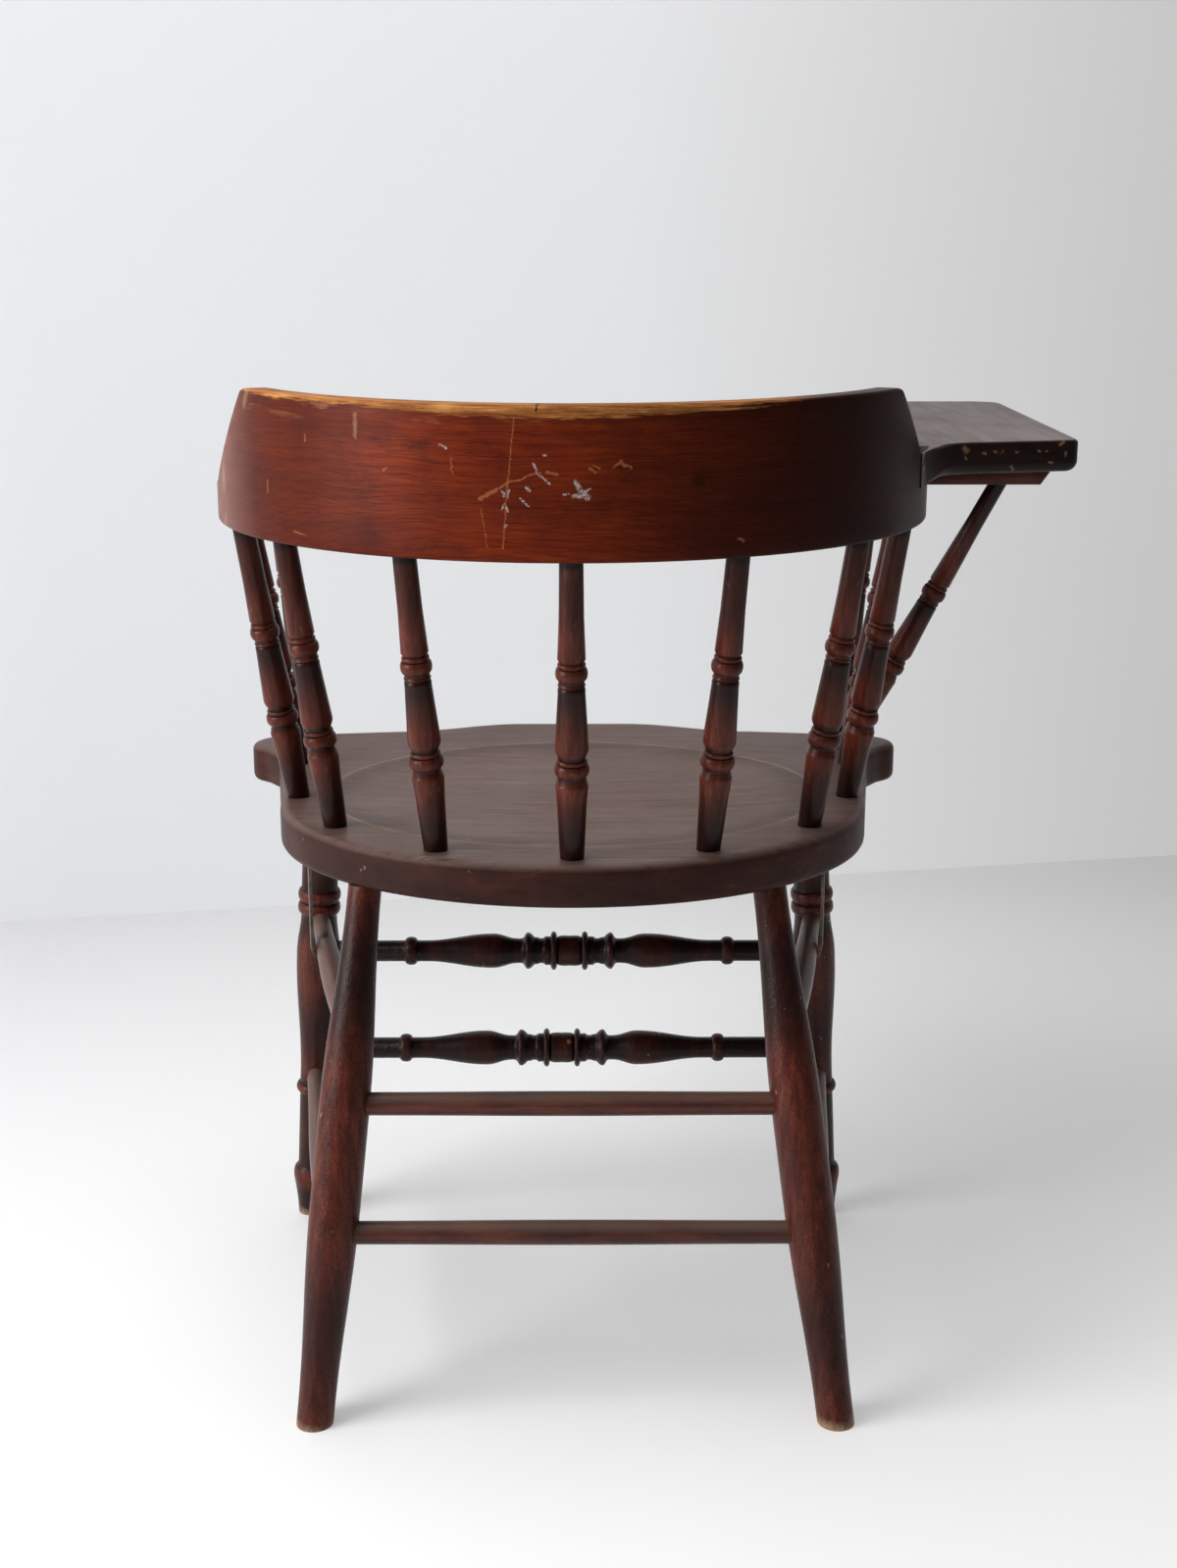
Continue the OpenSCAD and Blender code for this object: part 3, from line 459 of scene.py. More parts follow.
# Handling has worn the stain off the top edge in one long ragged band, dirty below it.
fray = pattern(t, flat, 60, (0.3, 1.3, 1), 6, 0.75)
ragged = pattern(t, flat, 330, (0.08, 1.0, 1), 4, 0.7)
reach = node(t, "ValToRGB", [node(t, "Math", [arc, 0.5], operation="ADD")],
             [(0.3, 0.0), (0.4, 0.5), (0.46, 0.9), (0.53, 1.0), (0.6, 0.55), (0.72, 0.3), (0.78, 0.38),
              (0.795, 0.0)])
band = node(t, "Math", [fray, 0.0095, 0.005], operation="MULTIPLY_ADD")
band = node(t, "Math", [reach, band], operation="MULTIPLY")
frayed = node(t, "Math", [ragged, 0.5], operation="SUBTRACT")
frayed = node(t, "Math", [frayed, 0.016, band], operation="MULTIPLY_ADD")
edge_gap = node(t, "Math", [drop, frayed], operation="SUBTRACT")
bare = node(t, "MapRange", [edge_gap, -0.0016, 0.0008, 1.0, 0.0])
within = node(t, "ValToRGB", [reach], [(0.05, 0.0), (0.25, 1.0)])
bare = node(t, "Math", [bare, within], operation="MULTIPLY")
dirt = node(t, "MapRange", [edge_gap, 0.0, 0.007, 0.75, 0.0])
smeared = node(t, "ValToRGB", [ragged], [(0.35, 1.0), (0.6, 0.15)])
dirt = node(t, "Math", [dirt, smeared], operation="MULTIPLY")
colour = tint(t, colour, "#2a1410", node(t, "Math", [dirt, reach], operation="MULTIPLY"))
patches = pattern(t, flat, 130, (0.22, 1.0, 1), 4, 0.65)
patches = node(t, "ValToRGB", [patches], [(0.57, 0.0), (0.67, 0.5)])
near_edge = node(t, "ValToRGB", [drop], [(0.004, 1.0), (0.02, 0.0)])
patches = node(t, "Math", [patches, near_edge], operation="MULTIPLY")
left_of_middle = node(t, "ValToRGB", [arc], [(0.02, 0.1), (0.06, 1.0)])
patches = node(t, "Math", [patches, left_of_middle], operation="MULTIPLY")
colour = tint(t, colour, "#a8714e", patches)
bare_tone = pattern(t, flat, 500, (0.05, 1, 1), 4, 0.7)
bare_tone = node(t, "ValToRGB", [bare_tone], [(0.34, "#80481f"), (0.5, "#b5753d"), (0.68, "#d9a062")])
stained = pattern(t, flat, 60, (0.35, 1, 1), 5, 0.7)
bare_tone = tint(t, bare_tone, "#7a4420", stained, [(0.45, 0.0), (0.62, 0.75)])
colour = tint(t, colour, bare_tone, bare)
# Old knocks: a long thin upright scratch, a gouge that slants across it, and flecks.
warp = node(t, "TexNoise", {"Scale": 380, "Detail": 3, "Roughness": 0.7, "Vector": flat}).outputs["Color"]
warp = node(t, "VectorMath", [warp, (0.0044, 0.0044, 0.0), (-0.0022, -0.0022, 0.0)],
            operation="MULTIPLY_ADD")
drawn = node(t, "CombineXYZ", [arc, rise])
drawn = node(t, "VectorMath", [drawn, warp], operation="ADD")
tan_marks = [([(37.7, 101), (40.0, 78), (41.6, 62), (42.9, 50), (45.9, 10)], 0.35),
             ([(61.5, 44.5), (59, 46), (50, 51)], 1.25),
             ([(50, 51), (45, 54.5), (40.5, 57), (34, 58)], 0.75),
             ([(34, 58), (27.6, 61.4), (20.5, 63)], 0.55), ([(16, 63.4), (9, 62.2)], 0.9),
             ([(-12, 66.5), (-17, 63)], 0.6), ([(-15, 68), (-19.5, 66)], 0.5),
             ([(-28.5, 67), (-34, 71.5)], 0.7), ([(-33, 69.5), (-40.5, 66)], 0.7),
             ([(61, 38), (58, 20), (56.5, 10)], 0.22), ([(219.9, 11.4), (206.7, 9.6)], 0.45),
             ([(252.1, 46), (252.8, 37)], 0.8), ([(204.2, 83), (204.4, 78)], 0.6),
             ([(133, 61.5), (130.6, 63.5)], 0.5), ([(81.5, 72), (81.0, 61)], 0.3),
             ([(-118, 14), (-122, 12)], 1.0)]
pale_marks = [([(24.6, 69.5), (22.6, 63)], 0.7), ([(21, 61.5), (14.5, 56)], 0.55),
              ([(29.8, 53), (27.5, 51)], 0.8), ([(34, 45.5), (28.6, 40)], 0.6),
              ([(46.5, 50), (44.5, 47)], 0.7), ([(41.5, 51), (42.5, 46)], 0.6),
              ([(45, 41), (46.2, 37.5)], 0.6), ([(43, 39), (42.6, 36)], 0.7),
              ([(-3, 57), (-6.5, 51)], 1.5), ([(-6.5, 50), (-10.5, 46.8)], 2.2),
              ([(-7, 49), (-12.6, 52)], 0.8), ([(-8, 47), (-1.5, 47.4)], 1.1),
              ([(1, 48.2), (4.6, 48.4)], 0.5), ([(18.5, 75.5), (16.5, 74.8)], 0.7),
              ([(43.4, 27), (44.3, 25.6)], 0.8), ([(89.5, 81), (84.5, 79)], 0.55)]
worn_marks = [([(155.5, 100), (155.8, 84)], 1.3), ([(346, 46), (347, 34)], 4.5),
              ([(281, 108), (286, 100)], 2.6), ([(344, 9), (349, 3)], 3.0)]
behind = node(t, "ValToRGB", [outer], [(0.6, 0.0), (0.9, 1.0)])
worn = node(t, "Math", [strokes(t, drawn, worn_marks, 0.8), behind], operation="MULTIPLY")
faint = node(t, "Math", [fray, 0.55], operation="MULTIPLY")
colour = tint(t, colour, "#c9a27c", node(t, "Math", [worn, faint], operation="MULTIPLY"))
strong = node(t, "Math", [behind, 0.65], operation="MULTIPLY")
tan = node(t, "Math", [strokes(t, drawn, tan_marks), strong], operation="MULTIPLY")
colour = tint(t, colour, "#a9673f", tan)
breakup = node(t, "ValToRGB", [pattern(t, flat, 700, (1, 1, 1), 3, 0.7)], [(0.38, 0.0), (0.55, 0.85)])
breakup = node(t, "Math", [breakup, behind], operation="MULTIPLY")
pale = node(t, "Math", [strokes(t, drawn, pale_marks), breakup], operation="MULTIPLY")
colour = tint(t, colour, "#bcb2b0", pale)
colour = tint(t, colour, "#170b07", strokes(t, drawn, [([(22.9, 105.5), (22.4, 109.4)], 0.5)]))
rough = node(t, "ValToRGB", [cloud], [(0.3, 0.34), (0.7, 0.46)])
rough = node(t, "Math", [bare, 0.3, rough], operation="MULTIPLY_ADD")
bump = node(t, "Math", [grain, 0.45], operation="MULTIPLY")
bump = node(t, "Math", [pores, 0.3, bump], operation="MULTIPLY_ADD")
bare_depth = node(t, "Math", [bare, 0.5], operation="MULTIPLY")
bump = node(t, "Math", [bump, bare_depth], operation="SUBTRACT")
end_material(t, colour, rough, bump, 0.2, 0.0005, coat=0.03, coat_rough=0.3, grey=0.07)
fix(rail, rail_wood, "rail_stain", "bow_rail")

# ------------------------------------------------------------ turned back posts
# Seven back posts and four arm posts are turned from birch on a lathe, each with two groups
# of beads between tapering shafts. Round tenons at both ends are glued into the seat and
# the rail. Each post meets the seat with a dark line of old varnish, and a band of painted
# shadow darkens it just under the rail.


def turn(name, profile, foot, head, low=None, high=None, around=36):
    """A turned piece: a ring at the foot is drawn up and sized along the profile of
    (radius, length), then stood on its foot and aimed at its head. A piece between the
    heights low and high is sawn off flush there."""
    lie = (head - foot).to_track_quat("Z", "Y").to_matrix().to_4x4()
    lie.translation = foot
    places, lengths, ends, sunk = [], [], [], []
    for i, (radius, length) in enumerate(profile):
        widest = max(r for r, _ in profile[max(0, i - 4):i + 5])
        for k in range(around):
            a = 2 * math.pi * k / around
            places.append(lie @ (Vector((radius * math.cos(a), radius * math.sin(a), length)) / 1000))
            lengths.append(length / 1000)
            ends.append((profile[-1][1] - length) / 1000)
            sunk.append(min(1.0, (widest - radius) / 3.0))
    piece = drawn_up(name, places, around)
    for mark, values in (("length", lengths), ("to_end", ends), ("sunk", sunk)):
        keep(piece, mark, values)
    for height, normal in ((low, -1), (high, 1)):
        if height is not None:
            edit(piece)
            bpy.ops.mesh.select_all(action="SELECT")
            bpy.ops.mesh.bisect(plane_co=(0, 0, height), plane_no=(0, 0, normal),
                                use_fill=True, clear_outer=True, threshold=0.000001)
    close_ends(piece)
    return piece


def bead(at, base, peak, w, steps=10):
    """A rounded bead that stands on a base diameter."""
    return [(base / 2 + (peak - base) / 2 * math.cos(math.pi * (i / steps - 0.5)),
             at + w / 2 * math.sin(math.pi * (i / steps - 0.5))) for i in range(steps + 1)]


def bead_group(at, peak, below, above, chamfer):
    """Shoulder, cove, main bead, small ring, groove, and the shoulder above."""
    low = [(below / 2 - 0.1, at - 15.0), (below / 2, at - 12.6), (below / 2 - 0.3, at - 11.3),
           (below / 2 - 1.0, at - 10.2), (peak * 0.43, at - 8.8), (peak * 0.4, at - 7.4),
           (peak * 0.4, at - 5.4)]
    high = [(peak * 0.375, at + 8.4), (peak * 0.375, at + 9.2), (above / 2 - 0.5, at + 8.9 + chamfer * 0.7),
            (above / 2, at + 9 + chamfer)]
    main, ring = bead(at, peak * 0.82, peak, 9.4, 12), bead(at + 6.6, peak * 0.78, peak * 0.87, 3.4, 8)
    return low + main + ring + high


def spindle_profile(length, low_at, high_at, slim=1.0, head=17.2):
    """A post: tapered foot, low beads, shaft, high beads, and a long neck up to the head."""
    foot_r = 9 * slim
    points = [(foot_r - 2 * 10 / low_at, -10), (foot_r + 1.1, low_at * 0.3), (foot_r + 2, low_at * 0.6)]
    points += bead_group(low_at, 26.2 * slim, 24.4 * slim, 25 * slim, 7)
    points += bead_group(high_at, 23.7 * slim, 20.4 * slim, 20.6 * slim, 2)
    points += [(head / 2 + 0.5 * slim, length - 40), (head / 2, length + 10)]
    return points


def seat_rim(turn_by, inset):
    """A place on the seat's round back, so many degrees from its middle and so far in."""
    a = math.radians(turn_by)
    p = Vector((BACK_W * math.sin(a), WIDE_AT - BACK_DEPTH * math.cos(a)))
    n = Vector((math.sin(a) / BACK_W, -math.cos(a) / BACK_DEPTH)).normalized()
    return p - n * inset


# Dark red-brown stain under satin varnish on turned birch: grain runs up each post, the
# grooves hold dark old varnish, and the beads' crowns are rubbed a little lighter.
post_wood, t = start_material("mahogany_stained_birch_posts")
at = node(t, "TexCoord").outputs["Object"]
sunk = node(t, "Attribute", attribute_name="sunk").outputs["Fac"]
grain = pattern(t, at, 260, (1, 1, 0.08), 5, 0.65)
cloud = pattern(t, at, 26, (1, 1, 0.5), 5, 0.65)
scuff = pattern(t, at, 150, (1, 1, 0.45), 4, 0.7)
colour = node(t, "ValToRGB", [grain], [(0.3, "#431910"), (0.52, "#5d281b"), (0.78, "#7b3d28")])
colour = tint(t, colour, "#31130e", cloud, [(0.42, 0.0), (0.7, 0.6)])
colour = tint(t, colour, "#8d5a45", scuff, [(0.62, 0.0), (0.72, 0.45)])
colour = tint(t, colour, "#150a09", sunk, [(0.15, 0.0), (0.7, 0.85)])
to_end = node(t, "Attribute", attribute_name="to_end").outputs["Fac"]
from_seat = node(t, "Attribute", attribute_name="length").outputs["Fac"]
# Painted shadow: a dark band on each post just under the rail, where the rail shades it. The dark line at
# the seat is old varnish in the joint.
rail_shadow_band = node(t, "ValToRGB", [to_end], [(0.0128, 0.95), (0.0142, 0.0)])
foot_joint = node(t, "ValToRGB", [from_seat], [(0.0012, 0.8), (0.0026, 0.0)])
colour = tint(t, colour, "#0d0605", node(t, "Math", [rail_shadow_band, foot_joint], operation="MAXIMUM"))
rough = node(t, "ValToRGB", [cloud], [(0.3, 0.27), (0.7, 0.42)])
bump = node(t, "Math", [grain, 0.35], operation="MULTIPLY")
bump = node(t, "Math", [cloud, 0.8, bump], operation="MULTIPLY_ADD")
end_material(t, colour, rough, bump, 0.25, 0.0008, coat=0.1, coat_rough=0.2, grey=0.13)

# The posts fan out: their feet and heads stand at these turns from the middle of the back.
# Each end is sunk half a millimetre into the wood that it meets.
LOW_BEADS, HIGH_BEADS, SINK = 72.25, 147.0, 0.0005
FOOT_TURNS = (90, 59, 28, 0, -28, -59, -90)
HEAD_TURNS = (65.5, 49.7, 25, 0, -25, -49.7, -65.5)
FOOT_INSETS = (14, 25, 25, 24, 25, 25, 14)
for i in range(7):
    p = seat_rim(FOOT_TURNS[i], FOOT_INSETS[i])
    q, _ = rail_place(HEAD_TURNS[i] / 90)
    foot, head = mm(p.x, p.y, SEAT_TOP), mm(q.x, q.y, RAIL_UNDER)
    length = (head - foot).length * 1000
    post = turn("back_post_%d" % (i + 1), spindle_profile(length, LOW_BEADS, HIGH_BEADS), foot, head,
                seat_high.z - SINK, RAIL_UNDER / 1000 + SINK)
    fix(post, post_wood, "spindle_stain", "spindle_%d" % (i + 1))

ARM_FEET = {"rear": (seat_side(296) - 16.5, 296.0), "front": (240.0, 393.0)}
for side, sign in (("left", 1), ("right", -1)):
    for which, (out, forward) in ARM_FEET.items():
        a = math.asin((forward + 10 - RAIL_WIDE_AT) / ARM_DRAW)
        foot = mm(sign * out, forward, SEAT_TOP)
        head = mm(sign * RAIL_W * math.cos(a), forward + 10, RAIL_UNDER)
        length = (head - foot).length * 1000
        profile = spindle_profile(length, LOW_BEADS, HIGH_BEADS)
        post = turn("arm_post_%s_%s" % (side, which), profile, foot, head,
                    seat_high.z - SINK, RAIL_UNDER / 1000 + SINK)
        fix(post, post_wood, "spindle_stain", "arm_spindle_%s_%s" % (side, which))

# ------------------------------------------------------------------------- legs
# Four splayed legs are turned from thicker birch and driven into the seat from below: the
# back pair are plain balusters, and the front pair have beads, a long swell and peg feet.
BACK_FOOT, BACK_TOP = (200.5, -60.0), (155.5, 45.0)
FRONT_FOOT, FRONT_TOP = (239.0, 307.0), (215.5, 290.0)
BACK_LEG_SHIFTS, FRONT_LEG_SHIFTS = (-2.0, 4.0), (7.0, 7.0)


def leg_at(side, foot, top, shifts, height):
    """Place on a leg's middle line at a height. Each pair stands a little to one side."""
    t = height / SEAT_UNDER
    return mm(shifts[0] + (shifts[1] - shifts[0]) * t + side * (foot[0] + (top[0] - foot[0]) * t),
              foot[1] + (top[1] - foot[1]) * t, height)


def back_leg_at(side, height):
    """Place on a back leg: side is 1 for the sitter's left and -1 for the right."""
    return leg_at(side, BACK_FOOT, BACK_TOP, BACK_LEG_SHIFTS, height)


def front_leg_at(side, height):
    """The same for a front leg."""
    return leg_at(side, FRONT_FOOT, FRONT_TOP, FRONT_LEG_SHIFTS, height)


def blend(start, start_d, end, end_d, steps=12):
    """A blend from one diameter to another that is level at both ends."""
    return [((start_d + (end_d - start_d) * (1 - math.cos(math.pi * i / steps)) / 2) / 2,
             start + (end - start) * i / steps) for i in range(steps + 1)]


def back_leg_profile(length):
    """From the floor up: a plain baluster that swells and thins again towards the seat."""
    return ([(14.25, -10), (14.25, 2)] + blend(10, 28.5, 165, 39, 16) + blend(245, 39, length - 10, 26, 16)
            + [(13, length + 10)])


def front_leg_profile(length):
    """From the floor up: peg foot, ankle, bead, a long swell, twin beads and a plain head."""
    return ([(12.1, -10), (13.0, 6), (13.6, 12), (14.5, 18), (15.4, 24), (16.1, 28), (16.9, 32), (17.6, 36),
             (17.9, 40), (17.9, 42), (17.3, 45), (16.2, 47), (14.8, 48.6), (13.9, 50.4), (13.8, 53),
             (13.75, 58), (13.75, 90), (13.75, 122)]
            + bead(128, 27.5, 34, 9) + [(13.75, 133.6), (13.75, 138)]
            + blend(146, 27.5, 255, 38.5, 16) + blend(261, 38.5, 297, 32, 8)
            + bead(304, 33, 38, 10.5) + bead(316, 33, 38, 10.5)
            + [(16, 323), (16, 340), (16, length + 10)])


# Nearly black-brown stain with a thick old varnish that has shrunk into fine scales, with
# rubbed red-brown patches, and bare tan wood round the feet where they scrape the floor.
leg_wood, t = start_material("dark_stained_birch_alligatored_varnish")
at = node(t, "TexCoord").outputs["Object"]
height = node(t, "SeparateXYZ", [at]).outputs["Z"]
sunk = node(t, "Attribute", attribute_name="sunk").outputs["Fac"]
drawn = node(t, "Mapping", {"Vector": at, "Scale": (1, 1, 0.7)})
scales = node(t, "TexVoronoi", {"Vector": drawn, "Scale": 330}, feature="DISTANCE_TO_EDGE")
cracks = node(t, "ValToRGB", [scales.outputs["Distance"]], [(0.0, 0.0), (0.12, 1.0)])
orange_peel = pattern(t, at, 300, (1, 1, 0.6), 3, 0.6)
grain = pattern(t, at, 180, (1, 1, 0.07), 5, 0.65)
cloud = pattern(t, at, 13, (1, 1, 0.45), 5, 0.65)
rubbed = pattern(t, at, 34, (1, 1, 0.3), 5, 0.7)
colour = node(t, "ValToRGB", [grain], [(0.3, "#3a1711"), (0.52, "#5c281d"), (0.75, "#7f3d2c")])
colour = tint(t, colour, "#6d3526", rubbed, [(0.5, 0.0), (0.68, 0.55)])
colour = tint(t, colour, "#29130f", cloud, [(0.45, 0.0), (0.7, 0.5)])
# Painted shade: the front stretchers, which sit in shade, are laid darker.
front_shade = node(t, "Attribute", attribute_name="front_stretcher_shade").outputs["Fac"]
colour = tint(t, colour, "#1b0c09", node(t, "Math", [front_shade, 0.7], operation="MULTIPLY"))
in_cracks = node(t, "ValToRGB", [cracks], [(0.0, 1.0), (1.0, 0.0)])
colour = tint(t, colour, "#130a09", node(t, "Math", [in_cracks, 0.45], operation="MULTIPLY"))
colour = tint(t, colour, "#120908", sunk, [(0.2, 0.0), (0.8, 0.8)])
flecks = node(t, "ValToRGB", [pattern(t, at, 95, (1, 1, 0.7), 2, 0.5)], [(0.73, 0.0), (0.76, 0.8)])
colour = tint(t, colour, "#8c6a52", flecks)
scraped = node(t, "Math", [rubbed, 0.5], operation="SUBTRACT")
scraped = node(t, "Math", [scraped, 0.03, height], operation="MULTIPLY_ADD")
colour = tint(t, colour, "#a08468", scraped, [(0.001, 1.0), (0.006, 0.0)])
rough = node(t, "ValToRGB", [rubbed], [(0.35, 0.28), (0.7, 0.46)])
bump = node(t, "Math", [orange_peel, 0.9], operation="MULTIPLY")
bump = node(t, "Math", [cracks, 0.25, bump], operation="MULTIPLY_ADD")
end_material(t, colour, rough, bump, 0.4, 0.0009, coat=0.13, coat_rough=0.18, grey=0.13)

for side, sign in (("left", 1), ("right", -1)):
    for which, at_height, profile in (("back", back_leg_at, back_leg_profile),
                                      ("front", front_leg_at, front_leg_profile)):
        foot, top = at_height(sign, 0), at_height(sign, SEAT_UNDER)
        leg = turn("leg_%s_%s_turned" % (which, side), profile((top - foot).length * 1000), foot, top,
                   0.0, SEAT_UNDER / 1000 + SINK, around=48)
        fix(leg, leg_wood, "leg_stain", "leg_%s_%s" % (which, side))

# ------------------------------------------------------------------- stretchers
# Eight stretchers tie the legs together in pairs. The two in front are turned with a barrel
# between rings and long swells, and the side and back ones are plain rods a little
# thicker in the middle. Their ends are glued into the legs.


def toward(a, b, reach):
    """A place so many millimetres from a on the way to b."""
    return a + (b - a).normalized() * reach / 1000


def front_half(length):
    """From the middle out to an end: barrel, ring, steps, sharp ring, neck, swell, collar."""
    return ([(13.6, 0.4), (13.75, 3), (13.75, 6), (13.5, 8.4), (13.0, 10), (12.2, 10.9)]
            + bead(14, 25.5, 35, 5.8) + [(12.9, 17.6), (13, 19), (12.9, 21.8), (11.7, 22.8), (11.3, 24.4),
                                        (11.3, 26.4), (12.2, 28.8), (12.3, 30.6), (12.6, 31.6), (14.6, 33.4),
                                        (15.9, 35), (16.5, 36.6), (16.5, 37.8), (15.9, 38.8), (14.4, 39.9),
                                        (12.6, 40.9), (11.5, 42), (11.1, 43.6), (11.1, 45.2)]
            + blend(47, 22.4, 68, 31, 10) + blend(70, 31, 128, 19, 16) + [(9.5, 136)]
            + bead(142.7, 20, 25.6, 10.5) + [(9.5, 149), (9.5, length)])


for level, height, shift in (("upper", 260, -3.0), ("lower", 165, 4.0)):
    a, b = front_leg_at(-1, height), front_leg_at(1, height)
    half_l = (b - a).length * 500 - 5
    left_half, right_half = front_half(half_l - shift), front_half(half_l + shift)
    profile = [(r, -s) for r, s in reversed(right_half)] + left_half
    rod = turn("stretcher_front_%s_turned" % level, profile, toward((a + b) / 2, b, shift), b, around=40)
    fix(rod, leg_wood, "leg_stain", "stretcher_front_%s" % level)
    # Marks the front stretchers so that their finish lays painted shade on them.
    keep(rod, "front_stretcher_shade", [1.0] * len(rod.data.vertices))

# The rods carry the legs' stain, but dust lies along their tops and dulls them to grey.
rod_wood, t = start_material("dark_stained_birch_rods_dusty")
at = node(t, "TexCoord").outputs["Object"]
up = node(t, "SeparateXYZ", [node(t, "NewGeometry").outputs["Normal"]]).outputs["Z"]
grain = pattern(t, at, 160, (0.12, 0.12, 1), 5, 0.65)
cloud = pattern(t, at, 22, (1, 1, 1), 5, 0.7)
colour = node(t, "ValToRGB", [grain], [(0.3, "#341611"), (0.52, "#54271e"), (0.75, "#733a2c")])
colour = tint(t, colour, "#1e1110", cloud, [(0.45, 0.0), (0.72, 0.55)])
dust = node(t, "ValToRGB", [up], [(0.2, 0.0), (0.9, 0.6)])
patchy = node(t, "ValToRGB", [cloud], [(0.3, 0.5), (0.65, 1.0)])
dust = node(t, "Math", [dust, patchy], operation="MULTIPLY")
colour = tint(t, colour, "#77675c", dust)
rough = node(t, "Math", [dust, 0.5, 0.32], operation="MULTIPLY_ADD")
bump = node(t, "Math", [grain, cloud], operation="ADD")
end_material(t, colour, rough, bump, 0.2, 0.0006, coat=0.2, coat_rough=0.25)

ROD_END = 26.0


def rod_profile(length, end_d, mid_d):
    """A plain rod, straight at its ends and a little thicker in the middle."""
    return ([(end_d / 2, 0)] + blend(ROD_END, end_d, length / 2 - 4, mid_d, 10)
            + blend(length / 2 + 4, mid_d, length - ROD_END, end_d, 10) + [(end_d / 2, length)])


for level, height in (("upper", 237), ("lower", 141)):
    a, b = back_leg_at(-1, height), back_leg_at(1, height)
    start = toward(a, b, 5)
    rod = turn("stretcher_back_%s_rod" % level, rod_profile((b - a).length * 1000 - 10, 18, 19.2), start, b)
    fix(rod, rod_wood, "leg_stain", "stretcher_back_%s" % level)
for side, sign in (("left", 1), ("right", -1)):
    for level, front_h, back_h in (("upper", 295, 279), ("lower", 143, 117)):
        a, b = front_leg_at(sign, front_h), back_leg_at(sign, back_h)
        start = toward(a, b, 5)
        profile = rod_profile((b - a).length * 1000 - 10, 16.4, 20.5)
        rod = turn("stretcher_%s_%s_rod" % (side, level), profile, start, b)
        fix(rod, rod_wood, "leg_stain", "stretcher_%s_%s" % (side, level))

# ---------------------------------------------------------------- writing tablet
# The tablet is a sawn board that rests on the right arm, with a horn that runs back along
# the arm's outside. Its edge is rounded over above and cut back underneath, so it looks
# thinner than it is. A cleat screwed beneath it takes the head of a slanting post.
TABLET_TOP, TABLET_T, CUT_BACK, EASED = 720.0, 27.0, 9.0, 3.6


def arc_points(cx, cy, r, start, end, steps):
    """A fully rounded corner of the outline, from one bearing to another."""
    turns = [math.radians(start + (end - start) * i / steps) for i in range(steps + 1)]
    return [(cx + r * math.cos(a), cy + r * math.sin(a), 1) for a in turns]


# Each point is out, forward, and the share of the rounding there: the inner side, the arm's
# outside, which is square, the horn, the rear edge, and the far corners.
tablet_points = arc_points(208, 233, 18, 180, 270, 6) + [(272, 215, 0.4)]
for forward in (215, 205, 190, 178, 168, 158, 150):
    place = math.acos((RAIL_WIDE_AT - forward) / (RAIL_DEPTH + RAIL_T / 2))
    tablet_points.append(((RAIL_W + RAIL_T / 2) * math.sin(place), forward, 0))
tablet_points += [(274.2, 150.5, 0), (280, 166, 0.09), (288, 188, 0.28), (300.5, 217, 0.65), (305, 226, 0.8),
                  (310.5, 234.5, 0.9), (317, 240, 0.97), (328, 246, 1), (345, 250.5, 1), (375, 257.5, 1)]
tablet_points += arc_points(412, 281, 14, -80, -4, 7)
tablet_points += arc_points(412, 692, 30, 0, 90, 10)
tablet_points += arc_points(220, 692, 30, 90, 180, 10)
quarter = [math.radians(15 * i) for i in range(7)]
# Each ring is how far in it lies, how far up its rounding lifts it, and its level in the board.
rings = [(CUT_BACK * (1 - math.sin(a)), CUT_BACK * (1 - math.cos(a)), 0) for a in quarter]
rings += [(EASED * (1 - math.cos(a)), -EASED * (1 - math.sin(a)), TABLET_T) for a in quarter[::2]]

count = len(tablet_points)
inward = []
for i in range(count):
    before, here, after = (Vector(tablet_points[(i + k) % count][:2]) for k in (-1, 0, 1))
    sides = [Vector((-d.y, d.x)).normalized() for d in (here - before, after - here)]
    inward.append((sides[0] + sides[1]) / max(0.3, 1 + sides[0].dot(sides[1])))
places = []
for inset, rise_by, level in rings:
    for (out, forward, share), n in zip(tablet_points, inward):
        p = Vector((out, forward)) + n * inset * share
        places.append(mm(-p.x, p.y, TABLET_TOP - TABLET_T + level + rise_by * share))
tablet = drawn_up("tablet_board", places, count)
close_ends(tablet)

# Dark stain on the tablet, its top a paler grey-brown that is partly dulling by hands, paper
# and dust and partly painted sheen, with the varnish still dark on the edge and knocked off it in small tan
# chips.
tablet_wood, t = start_material("dark_stained_tablet_worn_painted_sheen")
at = node(t, "TexCoord").outputs["Object"]
up = node(t, "SeparateXYZ", [node(t, "NewGeometry").outputs["Normal"]]).outputs["Z"]
grain = pattern(t, at, 70, (1.8, 0.09, 1), 6, 0.65)
cloud = pattern(t, at, 8, (1, 0.6, 1), 5, 0.6)
chips = pattern(t, at, 110, (1, 1, 1), 3, 0.55)
